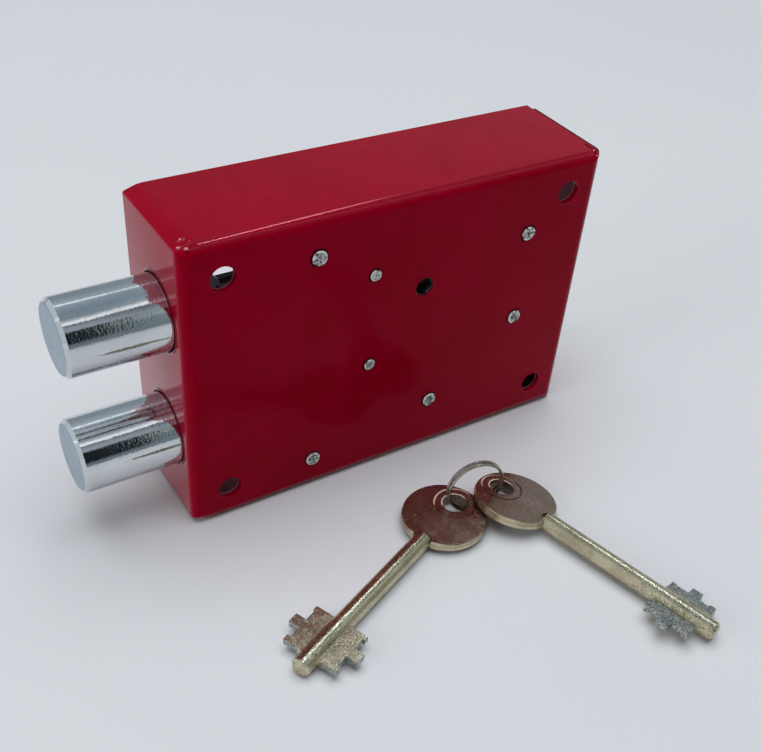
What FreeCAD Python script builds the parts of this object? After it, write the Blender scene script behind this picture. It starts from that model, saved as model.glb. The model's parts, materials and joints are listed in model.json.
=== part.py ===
import FreeCAD, Part
import Sketcher
import math
import os
import re

# Safe lock in a folded steel case, with its two double-bitted keys on a split ring.
# Frame: X along the length, bolts thrown towards -X; Y through the depth, the painted front
# wall at -Y and the keyhole cover at +Y; Z up. Origin: middle of the case's resting edge.

# Driving dimensions in millimetres: name, value, meaning
DIMENSIONS = (
    ("case_length", 137.5, "case, along the bolts"),
    ("case_height", 95.0, "case, as it stands"),
    ("case_depth", 36.5, "case, front wall to cover"),
    ("sheet_thickness", 2.0, "folded sheet"),
    ("bend_radius", 3.2, "outer radius of the bends round the front wall"),
    ("shoulder_drop", 1.5, "long flanges down to the bolt end's face"),
    ("shoulder_width", 4.4, "bolt end's face to the level part of the long flanges"),
    ("shoulder_radius", 9.0, "rounding between the shoulder and the level part"),
    ("edge_radius", 0.6, "outer edges of the two end faces"),
    ("relief_inset", 1.9, "far end to the outer side of the bend reliefs"),
    ("relief_width", 0.7, "bend relief at a front corner of the far end"),
    ("relief_length", 6.6, "front wall to the end of a bend relief"),
    ("relief_depth", 1.3, "bend relief"),
    ("corner_notch", 1.45, "notch at a rear corner of the far end, along the case"),
    ("notch_reach", 3.0, "notch at a rear corner of the far end, from the rear edge"),
    ("mount_pitch_long", 114.0, "mounting holes, along the case"),
    ("mount_pitch_high", 73.0, "mounting holes, up the case"),
    ("mount_hole", 7.5, "mounting hole diameter"),
    ("key_x", 6.9, "key axis, from the middle of the case"),
    ("key_z", 64.0, "key axis, height"),
    ("tip_hole", 6.2, "pilot hole for the key's tip"),
    ("cover_thickness", 2.5, "cover plate"),
    ("cover_margin", 6.0, "cover plate past the axes of the outer pillars"),
    ("cover_corner", 3.0, "corner radius of the cover plate"),
    ("cover_gap", 0.2, "cover plate's arm to the bolt end's flange"),
    ("arm_bottom", 36.0, "lower edge of the cover plate's arm between the bolts"),
    ("arm_top", 60.6, "upper edge of the cover plate's arm"),
    ("keyhole_round", 6.6, "round of the keyhole, diameter"),
    ("keyhole_wing", 3.2, "wing of the keyhole, width"),
    ("keyhole_span", 24.4, "wings of the keyhole, tip to tip"),
    ("pillar_diameter", 7.5, "cover pillars"),
    ("pillar_tail", 4.5, "riveted tails of the pillars"),
    ("tail_proud", 0.25, "height of a peened tail over the front wall"),
    ("tail_gap", 0.05, "tail to its hole, all round"),
    ("left_pillar_x", -28.9, "left pillars"),
    ("upper_left_z", 82.9, "upper left pillar, height"),
    ("lower_left_z", 10.9, "lower left pillar, height"),
    ("right_pillar_x", 44.0, "right pillars"),
    ("upper_right_z", 72.9, "upper right pillar, height"),
    ("lower_right_z", 42.4, "lower right pillar, height"),
    ("centre_pillar_x", 13.6, "lower centre pillar"),
    ("centre_pillar_z", 19.1, "lower centre pillar, height"),
    ("pin_x", -10.5, "guide pins"),
    ("upper_pin_z", 72.6, "upper guide pin, height"),
    ("lower_pin_z", 41.3, "lower guide pin, height"),
    ("pin_diameter", 5.0, "guide pins"),
    ("pin_tail", 3.4, "riveted tails of the guide pins"),
    ("pin_length", 17.6, "guide pin inside the case"),
    ("screw_diameter", 4.0, "cover screws"),
    ("screw_head", 7.8, "countersunk head of the cover screws"),
    ("screw_length", 11.0, "cover screws, with the head"),
    ("screw_sink", 0.1, "head of a cover screw below the cover's face"),
    ("screw_clearance", 0.2, "cover screw to its hole, all round"),
    ("driver_slot", 1.0, "slot in a screw's head, width"),
    ("driver_depth", 1.1, "slot in a screw's head, depth"),
    ("bolt_diameter", 22.0, "round bolts"),
    ("bolt_hole", 22.8, "holes for the bolts in the left flange"),
    ("bolt_setback", 16.2, "front wall to the bolts' axes"),
    ("upper_bolt_z", 67.6, "upper bolt, height"),
    ("lower_bolt_z", 27.0, "lower bolt, height"),
    ("bolt_projection", 29.0, "bolt past the case when thrown"),
    ("bolt_chamfer", 1.2, "chamfer at the bolt's end"),
    ("bolt_inside", 12.0, "bolt inside the case when thrown"),
    ("tenon_diameter", 10.0, "riveted tenon of a bolt"),
    ("tenon_head", 13.0, "peened head of a tenon"),
    ("tenon_head_height", 2.5, "peened head of a tenon"),
    ("bolt_throw", 20.0, "travel of the bolts, two half turns of the key"),
    ("plate_thickness", 3.0, "bolt plate"),
    ("plate_gap", 0.4, "front wall to the bolt plate"),
    ("plate_fold_reach", 28.0, "front wall to the edge of the bolt plate's fold"),
    ("plate_bend", 3.5, "outer radius of the bolt plate's fold"),
    ("plate_fold_inset", 2.5, "fold short of the bolt plate's upper and lower edges"),
    ("slide_gap", 0.1, "sliding pieces to the pins and pillars"),
    ("talon_tip_z", 56.6, "top of the teeth that the key pushes"),
    ("talon_root_z", 52.5, "bottom of the gaps between the teeth"),
    ("talon_width", 2.6, "tooth"),
    ("talon_pitch", 10.0, "tooth to tooth, one half turn of the key"),
    ("stump_x", 12.0, "bolt stump when thrown"),
    ("stump_z", 47.0, "bolt stump, height"),
    ("stump_diameter", 5.0, "bolt stump"),
    ("stump_tenon", 4.0, "bolt stump in the bolt plate"),
    ("pack_setback", 5.9, "front wall to the first lever"),
    ("lever_thickness", 1.4, "lever"),
    ("lever_pitch", 1.75, "lever to lever"),
    ("lever_left", -16.0, "left edge of a lever"),
    ("lever_right", 51.0, "right edge of a lever"),
    ("lever_bottom", 32.5, "bottom edge of a lever at rest"),
    ("lever_top", 79.0, "top edge of a lever at rest"),
    ("lever_corner", 3.0, "corner of a lever"),
    ("lever_opening", 12.5, "radius of the key's opening in a lever"),
    ("gate_length", 2.0, "gate between the two pockets of a lever"),
    ("gate_gap", 0.5, "stump to the gate"),
    ("pocket_gap", 0.4, "stump to the pockets"),
    ("keeper_setback", 16.45, "front wall to the keeper plate"),
    ("keeper_thickness", 1.5, "keeper plate"),
    ("clip_thickness", 0.8, "retaining clips"),
    ("clip_diameter", 8.6, "retaining clips"),
    ("clip_groove", 4.2, "groove of a guide pin"),
    ("comb_left", -21.5, "left face of the spring comb's block"),
    ("comb_width", 6.0, "spring comb's block"),
    ("comb_bottom", 85.0, "bottom of the spring comb's block"),
    ("finger_thickness", 0.5, "finger of the spring comb"),
    ("finger_width", 1.1, "finger of the spring comb"),
    ("finger_end_x", 34.0, "free end of a finger"),
    ("finger_low_x", 22.0, "lowest place of a finger"),
    ("finger_low_z", 82.7, "lowest place of a finger, pressed"),
    ("guard_thickness", 3.5, "drill guard"),
    ("guard_left", -18.0, "drill guard"),
    ("guard_right", 32.0, "drill guard"),
    ("guard_bottom", 48.0, "drill guard"),
    ("guard_top", 80.0, "drill guard"),
    ("guard_rivet", 4.0, "rivets of the drill guard"),
    ("guard_rivet_inset", 5.0, "rivets to the drill guard's ends"),
    ("key_reach", 71.9, "middle of the bow to the key's tip"),
    ("stem_diameter", 5.8, "key stem"),
    ("stem_chamfer", 0.8, "tip of the stem"),
    ("stem_start", 12.0, "middle of the bow to the stem's near end"),
    ("bow_diameter", 26.4, "disc bow of a key"),
    ("bow_thickness", 2.8, "disc bow of a key"),
    ("bow_edge", 0.3, "chamfer round the bow"),
    ("bow_hole", 7.8, "hole in the bow"),
    ("bow_hole_offset", 5.9, "middle of the bow to its hole"),
    ("bow_line", 13.4, "engraved circle round the hole, outer diameter"),
    ("bow_line_width", 0.5, "engraved circle"),
    ("bow_line_depth", 0.35, "engraved circle"),
    ("notch_gap", 1.8, "notch in the bow beyond the stem's end"),
    ("notch_side", 0.25, "notch in the bow beside the stem"),
    ("notch_depth", 0.9, "notch in the bow"),
    ("bit_thickness", 2.6, "bits"),
    ("bit_rib", 1.3, "full-thickness rib of the bits beside the stem"),
    ("bit_relief", 0.5, "depth milled off one side of the bits"),
    ("bit_start", 4.6, "tip of the key to the bits"),
    ("bit_step_a", 6.6, "tip of the key to the first step"),
    ("bit_step_b", 10.2, "tip of the key to the tooth"),
    ("bit_step_c", 13.6, "tip of the key to the tooth's far side"),
    ("bit_step_d", 17.6, "tip of the key to the last step"),
    ("bit_end", 19.1, "tip of the key to the bits' far side"),
    ("bit_reach_a", 8.9, "bit that pushes the bolt plate, from the key's axis"),
    ("bit_reach_b", 7.9, "bit under levers 1 and 2"),
    ("bit_reach_c", 11.5, "bit under levers 3 and 4"),
    ("bit_reach_d", 8.1, "bit under levers 5 and 6"),
    ("bit_reach_e", 8.7, "last step of the bits"),
    ("ring_radius", 9.1, "split ring, to the middle of its wire"),
    ("ring_wire", 0.9, "wire of the split ring"),
    ("ring_pitch", 1.35, "turn to turn of the split ring"),
)

# Each lever's lift, and the key's bit under it
LEVERS = (
    ("lever_1", 1.8, "bit_reach_b"),
    ("lever_2", 2.2, "bit_reach_b"),
    ("lever_3", 3.2, "bit_reach_c"),
    ("lever_4", 2.8, "bit_reach_c"),
    ("lever_5", 2.4, "bit_reach_d"),
    ("lever_6", 2.0, "bit_reach_d"),
)

# How the keys lie on the surface that the case stands on: the middle of the bow, and the
# key's turns in degrees about the vertical, down at the tip, and about its own stem.
# The second key leans on the first one's bow.
FIRST_KEY = {"middle": (-1.62, -52.72, 2.93), "turn": 203.4, "dip": 0.0, "roll": 0.0}
SECOND_KEY = {"middle": (21.6, -58.04, 4.1), "turn": -74.9, "dip": 0.4, "roll": -11.8}

# The split ring stands on the same surface, through both bows
RING_MIDDLE = (10.2, -51.2)
RING_TURN = -12.0

doc = FreeCAD.newDocument("SafeLock")
sheet = doc.addObject("Spreadsheet::Sheet", "dims")
ALIASES = set()


def fill_sheet():
    rows = list(DIMENSIONS)
    for name, lift, reach in LEVERS:
        rows.append((name + "_lift", lift, "lift of " + name))
    for row, (alias, size, meaning) in enumerate(rows, start=1):
        sheet.set("A%d" % row, meaning)
        sheet.set("B%d" % row, str(size))
        sheet.setAlias("B%d" % row, alias)
        ALIASES.add(alias)
    doc.recompute()


def number(expression):
    return float(sheet.evalExpression(expression))


def bind(owner, path, expression):
    def qualified(match):
        word = match.group(0)
        return "dims." + word if word in ALIASES else word
    owner.setExpression(path, re.sub(r"[a-z][a-z_0-9]*", qualified, expression))


# Faces of the case, as expressions of the sheet
LEFT = "(-case_length / 2)"
RIGHT = "(case_length / 2)"
FRONT = "(-case_depth / 2)"
BACK = "(case_depth / 2)"
INNER_FRONT = "(-case_depth / 2 + sheet_thickness)"
COVER_INSIDE = "(case_depth / 2 - cover_thickness)"


def new_body(label):
    body = doc.addObject("PartDesign::Body", label)
    body.Label = label
    return body


class Profile:
    """A sketch on one of its body's origin planes, at a level along the plane's axis."""

    NORMALS = {"XY_Plane": 1, "XZ_Plane": -1, "YZ_Plane": 1}

    def __init__(self, body, name, plane, level="0"):
        self.body = body
        self.name = name
        self.normal = self.NORMALS[plane]
        self.sketch = body.newObject("Sketcher::SketchObject", name)
        support = [item for item in body.Origin.OriginFeatures if item.Role == plane][0]
        self.sketch.AttachmentSupport = (support, [""])
        self.sketch.MapMode = "FlatFace"
        sign = "" if self.normal > 0 else "-"
        bind(self.sketch, "AttachmentOffset.Base.z", sign + "(" + level + ")")
        self.count = 0

    def limit(self, kind, geometry, expression, *places):
        if places:
            index = self.sketch.addConstraint(
                Sketcher.Constraint(kind, *places, geometry[0], geometry[1], number(expression)))
        else:
            index = self.sketch.addConstraint(
                Sketcher.Constraint(kind, geometry[0], number(expression)))
        label = "size%d" % self.count
        self.count += 1
        self.sketch.renameConstraint(index, label)
        bind(self.sketch, "Constraints." + label, expression)

    def place(self, geometry, point, across, up):
        self.limit("DistanceX", (geometry, point), across, -1, 1)
        self.limit("DistanceY", (geometry, point), up, -1, 1)

    def polygon(self, corners):
        spots = [FreeCAD.Vector(number(across), number(up), 0) for across, up in corners]
        total = len(spots)
        lines = [Part.LineSegment(spots[i], spots[(i + 1) % total]) for i in range(total)]
        first = self.sketch.addGeometry(lines, False)[0]
        for i in range(total):
            following = first + (i + 1) % total
            self.sketch.addConstraint(Sketcher.Constraint("Coincident", first + i, 2, following, 1))
        for i, (across, up) in enumerate(corners):
            self.place(first + i, 1, across, up)
        return self

    def rectangle(self, left, right, bottom, top):
        return self.polygon(((left, bottom), (right, bottom), (right, top), (left, top)))

    def circle(self, across, up, diameter):
        centre = FreeCAD.Vector(number(across), number(up), 0)
        radius = number(diameter) / 2
        shape = Part.Circle(centre, FreeCAD.Vector(0, 0, 1), radius)
        index = self.sketch.addGeometry(shape, False)
        self.place(index, 3, across, up)
        self.limit("Diameter", (index,), diameter)
        return self

    def slot(self, start, end, radius):
        """A round-ended slot between two centres, along one axis of the sketch."""
        first = FreeCAD.Vector(number(start[0]), number(start[1]), 0)
        last = FreeCAD.Vector(number(end[0]), number(end[1]), 0)
        size = number(radius)
        along = (last - first).normalize()
        aside = FreeCAD.Vector(-along.y, along.x, 0) * size
        heading = math.atan2(along.y, along.x)
        axis = FreeCAD.Vector(0, 0, 1)
        quarter = math.pi / 2
        first_end = Part.ArcOfCircle(Part.Circle(first, axis, size), heading + quarter,
                                     heading + 3 * quarter)
        last_end = Part.ArcOfCircle(Part.Circle(last, axis, size), heading - quarter,
                                    heading + quarter)
        low = Part.LineSegment(first - aside, last - aside)
        high = Part.LineSegment(last + aside, first + aside)
        index = self.sketch.addGeometry([first_end, low, last_end, high], False)
        end_point, start_point = 2, 1
        for i in range(4):
            following = index[(i + 1) % 4]
            self.sketch.addConstraint(
                Sketcher.Constraint("Tangent", index[i], end_point, following, start_point))
        self.place(index[0], 3, *start)
        self.place(index[2], 3, *end)
        self.limit("Radius", (index[0],), radius)
        self.sketch.addConstraint(Sketcher.Constraint("Equal", index[0], index[2]))
        return self

    def round_with_flat(self, across, up, radius, flat):
        """A circle whose top is cut level at the height of flat."""
        centre = FreeCAD.Vector(number(across), number(up), 0)
        size = number(radius)
        rise = math.asin((number(flat) - centre.y) / size)
        circle = Part.Circle(centre, FreeCAD.Vector(0, 0, 1), size)
        arc = Part.ArcOfCircle(circle, math.pi - rise, 2 * math.pi + rise)
        line = Part.LineSegment(arc.EndPoint, arc.StartPoint)
        index = self.sketch.addGeometry([arc, line], False)
        self.sketch.addConstraint(Sketcher.Constraint("Coincident", index[0], 2, index[1], 1))
        self.sketch.addConstraint(Sketcher.Constraint("Coincident", index[1], 2, index[0], 1))
        self.place(index[0], 3, across, up)
        self.limit("Radius", (index[0],), radius)
        self.limit("DistanceY", (index[0], 1), flat, -1, 1)
        self.limit("DistanceY", (index[0], 2), flat, -1, 1)
        return self

    def pad(self, length, toward):
        feature = self.body.newObject("PartDesign::Pad", self.name + "_pad")
        feature.Profile = self.sketch
        bind(feature, "Length", length)
        feature.Reversed = toward != self.normal
        doc.recompute()
        return feature

    def pocket(self, length, toward):
        before = self.body.Shape.Volume
        feature = self.body.newObject("PartDesign::Pocket", self.name + "_pocket")
        feature.Profile = self.sketch
        bind(feature, "Length", length)
        feature.Reversed = toward == self.normal
        doc.recompute()
        if self.body.Shape.Volume > before - 1e-3:
            raise RuntimeError("pocket cut nothing: " + self.name)
        return feature


def dress(body, kind, size_name, expression, chosen):
    """A fillet or chamfer on the edges of the body that pass the test."""
    base = body.Tip
    names = ["Edge%d" % (i + 1) for i, edge in enumerate(base.Shape.Edges) if chosen(edge)]
    if not names:
        raise RuntimeError("no edge found on " + body.Label)
    feature = body.newObject("PartDesign::" + kind, body.Label + "_" + kind.lower())
    feature.Base = (base, names)
    bind(feature, size_name, expression)
    doc.recompute()
    return feature


def near(first, second):
    return abs(first - second) < 1e-4


def along_axis(edge, axis):
    """True for a straight edge that runs along the axis with that index."""
    if edge.Curve.TypeId != "Part::GeomLine":
        return False
    return abs(abs(edge.tangentAt(edge.FirstParameter)[axis]) - 1) < 1e-6


def rim(edge, radius, centre, axis, level):
    """True for a circle of that radius in the plane at level along the axis."""
    if edge.Curve.TypeId != "Part::GeomCircle":
        return False
    if not near(edge.Curve.Radius, radius):
        return False
    middle = edge.Curve.Center
    if centre is not None and not (near(middle.x, centre[0]) and near(middle.z, centre[1])):
        return False
    return near(middle[axis], level)


PILLARS = (
    ("upper_left_pillar", "left_pillar_x", "upper_left_z"),
    ("lower_left_pillar", "left_pillar_x", "lower_left_z"),
    ("upper_right_pillar", "right_pillar_x", "upper_right_z"),
    ("lower_right_pillar", "right_pillar_x", "lower_right_z"),
    ("centre_pillar", "centre_pillar_x", "centre_pillar_z"),
)
PINS = (
    ("upper_guide_pin", "pin_x", "upper_pin_z"),
    ("lower_guide_pin", "pin_x", "lower_pin_z"),
)
MOUNT_HOLES = [
    (side + "mount_pitch_long / 2", "case_height / 2 " + level + " mount_pitch_high / 2")
    for side in ("-", "") for level in ("-", "+")
]


def case_tray():
    body = new_body("case_tray")
    outside = Profile(body, "tray_outside", "XZ_Plane", FRONT)
    shoulder = LEFT + " + shoulder_width"
    outside.polygon((
        (LEFT, "shoulder_drop"), (shoulder, "0"), (RIGHT, "0"),
        (RIGHT, "case_height"), (shoulder, "case_height"), (LEFT, "case_height - shoulder_drop"),
    ))
    outside.pad("case_depth", 1)
    front = number(FRONT)
    shoulder_edge = number(shoulder)
    end_faces = (number(LEFT), number(RIGHT))

    def in_front_face(edge):
        box = edge.BoundBox
        return near(box.YMin, front) and near(box.YMax, front)

    def end_edge(edge):
        return along_axis(edge, 1) and any(near(edge.BoundBox.XMin, face) for face in end_faces)

    dress(body, "Fillet", "Radius", "shoulder_radius",
          lambda edge: along_axis(edge, 1) and near(edge.BoundBox.XMin, shoulder_edge))
    dress(body, "Fillet", "Radius", "bend_radius", in_front_face)
    dress(body, "Fillet", "Radius", "edge_radius", end_edge)
    inside = Profile(body, "tray_inside", "XZ_Plane", INNER_FRONT)
    inside.rectangle(LEFT + " + sheet_thickness", RIGHT + " - sheet_thickness",
                     "sheet_thickness", "case_height - sheet_thickness")
    inside.pocket("case_depth", 1)
    cut_far_corners(body)
    holes = Profile(body, "front_holes", "XZ_Plane", FRONT)
    for across, up in MOUNT_HOLES:
        holes.circle(across, up, "mount_hole")
    for name, across, up in PILLARS:
        holes.circle(across, up, "pillar_tail + 2 * tail_gap")
    for name, across, up in PINS:
        holes.circle(across, up, "pin_tail + 2 * tail_gap")
    holes.circle("key_x", "key_z", "tip_hole")
    holes.pocket("2 * sheet_thickness", 1)
    bolt_holes = Profile(body, "bolt_holes", "YZ_Plane", LEFT)
    for height in ("upper_bolt_z", "lower_bolt_z"):
        bolt_holes.circle(FRONT + " + bolt_setback", height, "bolt_hole")
    bolt_holes.pocket("2 * sheet_thickness", 1)
    return body


def cut_far_corners(body):
    """The far end's flange is bent up on its own: a relief at each front corner, a notch at each rear one."""
    outer = RIGHT + " - relief_inset"
    inner = outer + " - relief_width"
    reliefs = Profile(body, "bend_reliefs", "XZ_Plane", FRONT)
    reliefs.rectangle(inner, outer, "case_height - relief_depth", "case_height + 1")
    reliefs.rectangle(inner, outer, "-1", "relief_depth")
    reliefs.pocket("relief_length", 1)
    notches = Profile(body, "rear_notches", "XZ_Plane", BACK)
    notches.rectangle(RIGHT + " - corner_notch", RIGHT + " + 1",
                      "case_height - sheet_thickness", "case_height + 1")
    notches.rectangle(RIGHT + " - corner_notch", RIGHT + " + 1", "-1", "sheet_thickness")
    notches.pocket("notch_reach", -1)


def cover_plate():
    body = new_body("cover_plate")
    plate = Profile(body, "cover_outline", "XZ_Plane", BACK)
    left = "left_pillar_x - cover_margin"
    right = "right_pillar_x + cover_margin"
    bottom = "lower_left_z - cover_margin"
    top = "upper_left_z + cover_margin"
    arm_end = LEFT + " + sheet_thickness + cover_gap"
    plate.polygon((
        (left, bottom), (right, bottom), (right, top), (left, top),
        (left, "arm_top"), (arm_end, "arm_top"), (arm_end, "arm_bottom"), (left, "arm_bottom"),
    ))
    plate.pad("cover_thickness", -1)
    dress(body, "Fillet", "Radius", "cover_corner", lambda edge: along_axis(edge, 1))
    holes = Profile(body, "cover_holes", "XZ_Plane", BACK)
    for name, across, up in PILLARS:
        holes.circle(across, up, "screw_diameter + 2 * screw_clearance")
    for side in ("guard_left + guard_rivet_inset", "guard_right - guard_rivet_inset"):
        holes.circle(side, "key_z", "guard_rivet + 2 * tail_gap")
    holes.pocket("2 * cover_thickness", -1)
    cut_keyhole(body, "cover", BACK)
    back = number(BACK)
    radius = number("screw_diameter / 2 + screw_clearance")
    dress(body, "Chamfer", "Size", "(screw_head - screw_diameter) / 2",
          lambda edge: rim(edge, radius, None, 1, back))
    return body


def cut_keyhole(body, prefix, level):
    barrel = Profile(body, prefix + "_key_round", "XZ_Plane", level)
    barrel.circle("key_x", "key_z", "keyhole_round")
    barrel.pocket("10 * cover_thickness", -1)
    wings = Profile(body, prefix + "_key_wings", "XZ_Plane", level)
    wings.rectangle("key_x - keyhole_span / 2", "key_x + keyhole_span / 2",
                    "key_z - keyhole_wing / 2", "key_z + keyhole_wing / 2")
    wings.pocket("10 * cover_thickness", -1)


def pillar(name, across, up):
    body = new_body(name)
    post = Profile(body, name + "_post", "XZ_Plane", INNER_FRONT)
    post.circle(across, up, "pillar_diameter")
    post.pad("case_depth - sheet_thickness - cover_thickness", 1)
    tail = Profile(body, name + "_tail", "XZ_Plane", INNER_FRONT)
    tail.circle(across, up, "pillar_tail").pad("sheet_thickness + tail_proud", -1)
    thread = Profile(body, name + "_thread", "XZ_Plane", COVER_INSIDE)
    thread.circle(across, up, "screw_diameter + 0.1").pocket("screw_length + 1", -1)
    end = number(FRONT + " - tail_proud")
    dress(body, "Chamfer", "Size", "0.8 * tail_proud",
          lambda edge: rim(edge, number("pillar_tail / 2"), None, 1, end))
    return body


def guide_pin(name, across, up):
    body = new_body(name)
    post = Profile(body, name + "_post", "XZ_Plane", INNER_FRONT)
    post.circle(across, up, "pin_diameter").pad("pin_length", 1)
    tail = Profile(body, name + "_tail", "XZ_Plane", INNER_FRONT)
    tail.circle(across, up, "pin_tail").pad("sheet_thickness + tail_proud", -1)
    groove = Profile(body, name + "_groove", "XZ_Plane", CLIP_LEVEL)
    groove.circle(across, up, "pin_diameter + 1")
    groove.circle(across, up, "clip_groove")
    groove.pocket("clip_thickness + slide_gap", 1)
    end = number(FRONT + " - tail_proud")
    dress(body, "Chamfer", "Size", "0.8 * tail_proud",
          lambda edge: rim(edge, number("pin_tail / 2"), None, 1, end))
    return body


CLIP_LEVEL = FRONT + " + keeper_setback + keeper_thickness + slide_gap / 2"


def fuse_copies(label, makers):
    """Separate solids of one kind of fastener, kept in one node."""
    group = doc.addObject("Part::Compound", label)
    group.Label = label
    group.Links = makers
    doc.recompute()
    return group


def turned(name, across, up, level, toward, radius, length, far_radius=None):
    """A cylinder or cone along Y that starts at a level, from named dimensions."""
    kind = "Part::Cylinder" if far_radius is None else "Part::Cone"
    item = doc.addObject(kind, name)
    if far_radius is None:
        bind(item, "Radius", radius)
    else:
        bind(item, "Radius1", radius)
        bind(item, "Radius2", far_radius)
    bind(item, "Height", length)
    item.Placement.Rotation = FreeCAD.Rotation(FreeCAD.Vector(1, 0, 0), -90 * toward)
    bind(item, "Placement.Base.x", across)
    bind(item, "Placement.Base.y", level)
    bind(item, "Placement.Base.z", up)
    return item


def join(kind, name, base, tool):
    item = doc.addObject(kind, name)
    item.Base = base
    item.Tool = tool
    doc.recompute()
    return item


def cover_screws():
    screws = []
    for i, (name, across, up) in enumerate(PILLARS):
        tag = "screw_%d" % (i + 1)
        top = BACK + " - screw_sink"
        shank = turned(tag + "_shank", across, up, top, -1, "screw_diameter / 2", "screw_length")
        head = turned(tag + "_head", across, up, top, -1,
                      "screw_head / 2", "(screw_head - screw_diameter) / 2", "screw_diameter / 2")
        solid = join("Part::Fuse", tag + "_solid", head, shank)
        slot = doc.addObject("Part::Box", tag + "_slot")
        bind(slot, "Length", "screw_head")
        bind(slot, "Width", "driver_depth")
        bind(slot, "Height", "driver_slot")
        bind(slot, "Placement.Base.x", across + " - screw_head / 2")
        bind(slot, "Placement.Base.y", top + " - driver_depth")
        bind(slot, "Placement.Base.z", up + " - driver_slot / 2")
        screws.append(join("Part::Cut", tag, solid, slot))
    return fuse_copies("cover_screws", screws)


def retaining_clips():
    clips = []
    for i, (name, across, up) in enumerate(PINS):
        tag = "clip_%d" % (i + 1)
        disc = turned(tag + "_disc", across, up, CLIP_LEVEL, 1, "clip_diameter / 2", "clip_thickness")
        bore = turned(tag + "_bore", across, up, CLIP_LEVEL + " - 1", 1,
                      "clip_groove / 2 + tail_gap", "clip_thickness + 2")
        ring = join("Part::Cut", tag + "_ring", disc, bore)
        mouth = doc.addObject("Part::Box", tag + "_mouth")
        bind(mouth, "Length", "clip_diameter")
        bind(mouth, "Width", "clip_thickness + 2")
        bind(mouth, "Height", "clip_groove * 0.8")
        bind(mouth, "Placement.Base.x", across)
        bind(mouth, "Placement.Base.y", CLIP_LEVEL + " - 1")
        bind(mouth, "Placement.Base.z", up + " - clip_groove * 0.4")
        clips.append(join("Part::Cut", tag, ring, mouth))
    return fuse_copies("retaining_clips", clips)


def guard_rivets():
    rivets = []
    for i, side in enumerate(("guard_left + guard_rivet_inset", "guard_right - guard_rivet_inset")):
        rivets.append(turned("guard_rivet_%d" % (i + 1), side, "key_z", BACK, -1,
                             "guard_rivet / 2", "cover_thickness + guard_thickness"))
    return fuse_copies("guard_rivets", rivets)


def drill_guard():
    body = new_body("drill_guard")
    plate = Profile(body, "guard_outline", "XZ_Plane", COVER_INSIDE)
    plate.rectangle("guard_left", "guard_right", "guard_bottom", "guard_top")
    plate.pad("guard_thickness", -1)
    dress(body, "Chamfer", "Size", "3", lambda edge: along_axis(edge, 1))
    holes = Profile(body, "guard_holes", "XZ_Plane", COVER_INSIDE)
    for side in ("guard_left + guard_rivet_inset", "guard_right - guard_rivet_inset"):
        holes.circle(side, "key_z", "guard_rivet + 2 * tail_gap")
    holes.pocket("2 * guard_thickness", -1)
    cut_keyhole(body, "guard", COVER_INSIDE)
    return body


def keeper_plate():
    body = new_body("keeper_plate")
    level = FRONT + " + keeper_setback"
    plate = Profile(body, "keeper_outline", "XZ_Plane", level)
    plate.rectangle("lever_left - 1", "lever_right + 1", "lever_bottom + 3", "lever_top + 1")
    plate.pad("keeper_thickness", 1)
    holes = Profile(body, "keeper_holes", "XZ_Plane", level)
    for name, across, up in PINS:
        holes.circle(across, up, "pin_diameter + 2 * tail_gap")
    for across, up in (("right_pillar_x", "upper_right_z"), ("right_pillar_x", "lower_right_z")):
        holes.circle(across, up, "pillar_diameter + 2 * tail_gap")
    holes.circle("key_x", "key_z", "2 * lever_opening + 0.4")
    holes.pocket("2 * keeper_thickness", 1)
    dress(body, "Fillet", "Radius", "lever_corner",
          lambda edge: along_axis(edge, 1) and edge.Length < number("2 * keeper_thickness"))
    return body


def spring_comb():
    body = new_body("spring_comb")
    level = FRONT + " + pack_setback"
    middle = "(lever_thickness - finger_width) / 2"
    right = "comb_left + comb_width"
    finger = Profile(body, "finger", "XZ_Plane", level + " + " + middle)
    finger.polygon((
        ("comb_left + 1", "comb_bottom + 3"),
        (right, "comb_bottom + 3"),
        ("finger_low_x", "finger_low_z"),
        ("finger_end_x", "finger_low_z + 1.5"),
        ("finger_end_x", "finger_low_z + 1.5 + finger_thickness"),
        ("finger_low_x", "finger_low_z + finger_thickness"),
        (right, "comb_bottom + 3 + finger_thickness"),
        ("comb_left + 1", "comb_bottom + 3 + finger_thickness"),
    ))
    pad = finger.pad("finger_width", 1)
    copies = body.newObject("PartDesign::LinearPattern", "fingers")
    copies.Originals = [pad]
    depth_axis = [item for item in body.Origin.OriginFeatures if item.Role == "Y_Axis"][0]
    copies.Direction = (depth_axis, [""])
    bind(copies, "Length", "%d * lever_pitch" % (len(LEVERS) - 1))
    copies.Occurrences = len(LEVERS)
    body.Tip = copies
    doc.recompute()
    block = Profile(body, "comb_block", "XZ_Plane", level)
    block.rectangle("comb_left", right, "comb_bottom", "case_height - sheet_thickness")
    block.pad("%d * lever_pitch + lever_thickness" % (len(LEVERS) - 1), 1)
    return body


PLATE_LEFT = LEFT + " + bolt_inside"


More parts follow.
